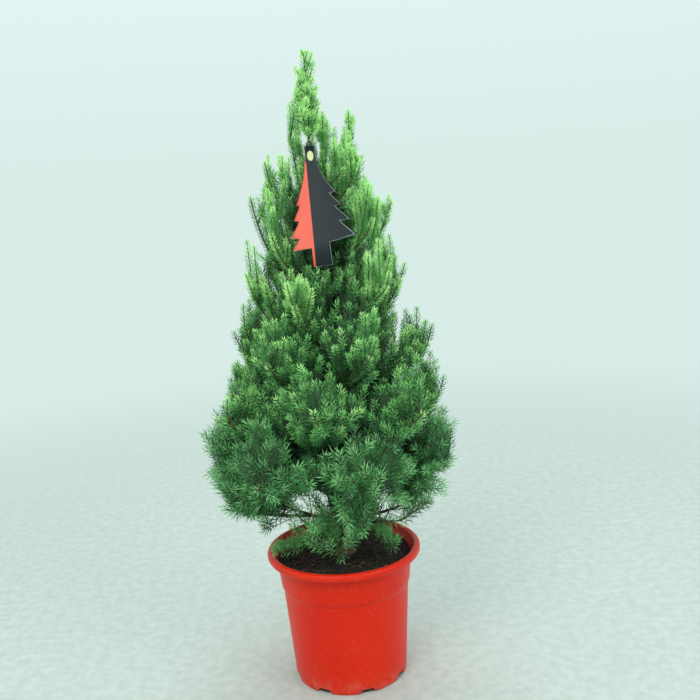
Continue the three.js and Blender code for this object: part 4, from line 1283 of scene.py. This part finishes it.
def floor_finish():
    """Pale matt floor with a faint mottle. Further out it turns into the backdrop's own light."""
    finish = Finish("pale_floor", Roughness=0.9)
    mottle = finish.noise(60, 4, 0.6)
    finish.wear(Base_Color=finish.blend(mottle.ramp(0.3, 0.7), paint(176, 184, 178), paint(188, 196, 190)))
    distance = finish.node("VectorMath", {"operation": "LENGTH"}, {0: finish.place()}, output="Value")
    matt = Signal(finish, finish.shader.outputs[0])
    glow = finish.node("Emission", None, {"Color": HORIZON, "Strength": 1.0})
    mixed = finish.node("MixShader", None, {0: distance.ramp(0.7, 2.4), 1: matt, 2: glow})
    finish.give(finish.tree.nodes["Material Output"], {"Surface": mixed})
    return finish.material


reach = np.concatenate([np.linspace(0.01, 1.0, 12), np.linspace(1.4, 14, 16)])[:, None]
angle = np.linspace(0, 2 * math.pi, 96, endpoint=False)
rings = np.stack([reach * np.cos(angle), reach * np.sin(angle), 0 * reach * angle], axis=-1)
faces = [grid_faces(len(reach), len(angle))[:, ::-1]]
floor = add_mesh("studio_floor", rings.reshape(-1, 3), faces, floor_finish())


def soft_light(name, location, aim, size, watts, colour):
    """A square area light that faces a point."""
    lamp = bpy.data.lights.new(name, "AREA")
    lamp.shape = "SQUARE"
    lamp.size = size
    lamp.energy = watts
    lamp.color = colour
    holder = bpy.data.objects.new(name, lamp)
    holder.location = location
    holder.rotation_euler = (Vector(aim) - Vector(location)).to_track_quat("-Z", "Y").to_euler()
    bpy.context.scene.collection.objects.link(holder)


soft_light("key_light", (-0.9, -1.9, 2.5), (0, 0, 0.5), 1.3, 36, (1.0, 0.99, 0.96))
soft_light("fill_light", (1.7, -1.5, 1.6), (0, 0, 0.45), 1.4, 16, (0.94, 0.98, 1.0))
soft_light("top_light", (0.1, 0.9, 2.6), (0, 0, 0.6), 1.4, 22, (0.96, 1.0, 1.0))

world = bpy.data.worlds.new("pale_backdrop")
world.use_nodes = True
sky = Nodes(world.node_tree)
direction = sky.node("TexCoord", output="Generated")
rise = sky.node("SeparateXYZ", None, {"Vector": direction}, output="Z")
rise = sky.node("MapRange", None, {"Value": rise, "From Min": 0.0, "From Max": HORIZON_FADES})
sky.give(sky.tree.nodes["Background"], {"Color": sky.blend(rise, HORIZON, BACKDROP), "Strength": 1.0})
bpy.context.scene.world = world
bpy.context.scene.view_settings.view_transform = "Standard"

CAMERA_PLACE = (0.0, -1.376, 0.775)
CAMERA_LENS = 48.857
SENSOR_WIDTH = 36.0
pitch, roll, yaw = math.radians(11.03), math.radians(-3.69), math.radians(1.21)
forward = Vector((math.sin(yaw) * math.cos(pitch), math.cos(yaw) * math.cos(pitch), -math.sin(pitch)))
right = Vector((math.cos(yaw), -math.sin(yaw), 0))
up = right.cross(forward)
turned_right = math.cos(roll) * right + math.sin(roll) * up
turned_up = -math.sin(roll) * right + math.cos(roll) * up
lens = bpy.data.cameras.new("camera")
lens.lens = CAMERA_LENS
lens.sensor_width = SENSOR_WIDTH
lens.sensor_fit = "HORIZONTAL"
camera = bpy.data.objects.new("camera", lens)
camera.matrix_world = Matrix((turned_right, turned_up, -forward)).transposed().to_4x4()
camera.location = CAMERA_PLACE
bpy.context.scene.collection.objects.link(camera)
bpy.context.scene.camera = camera
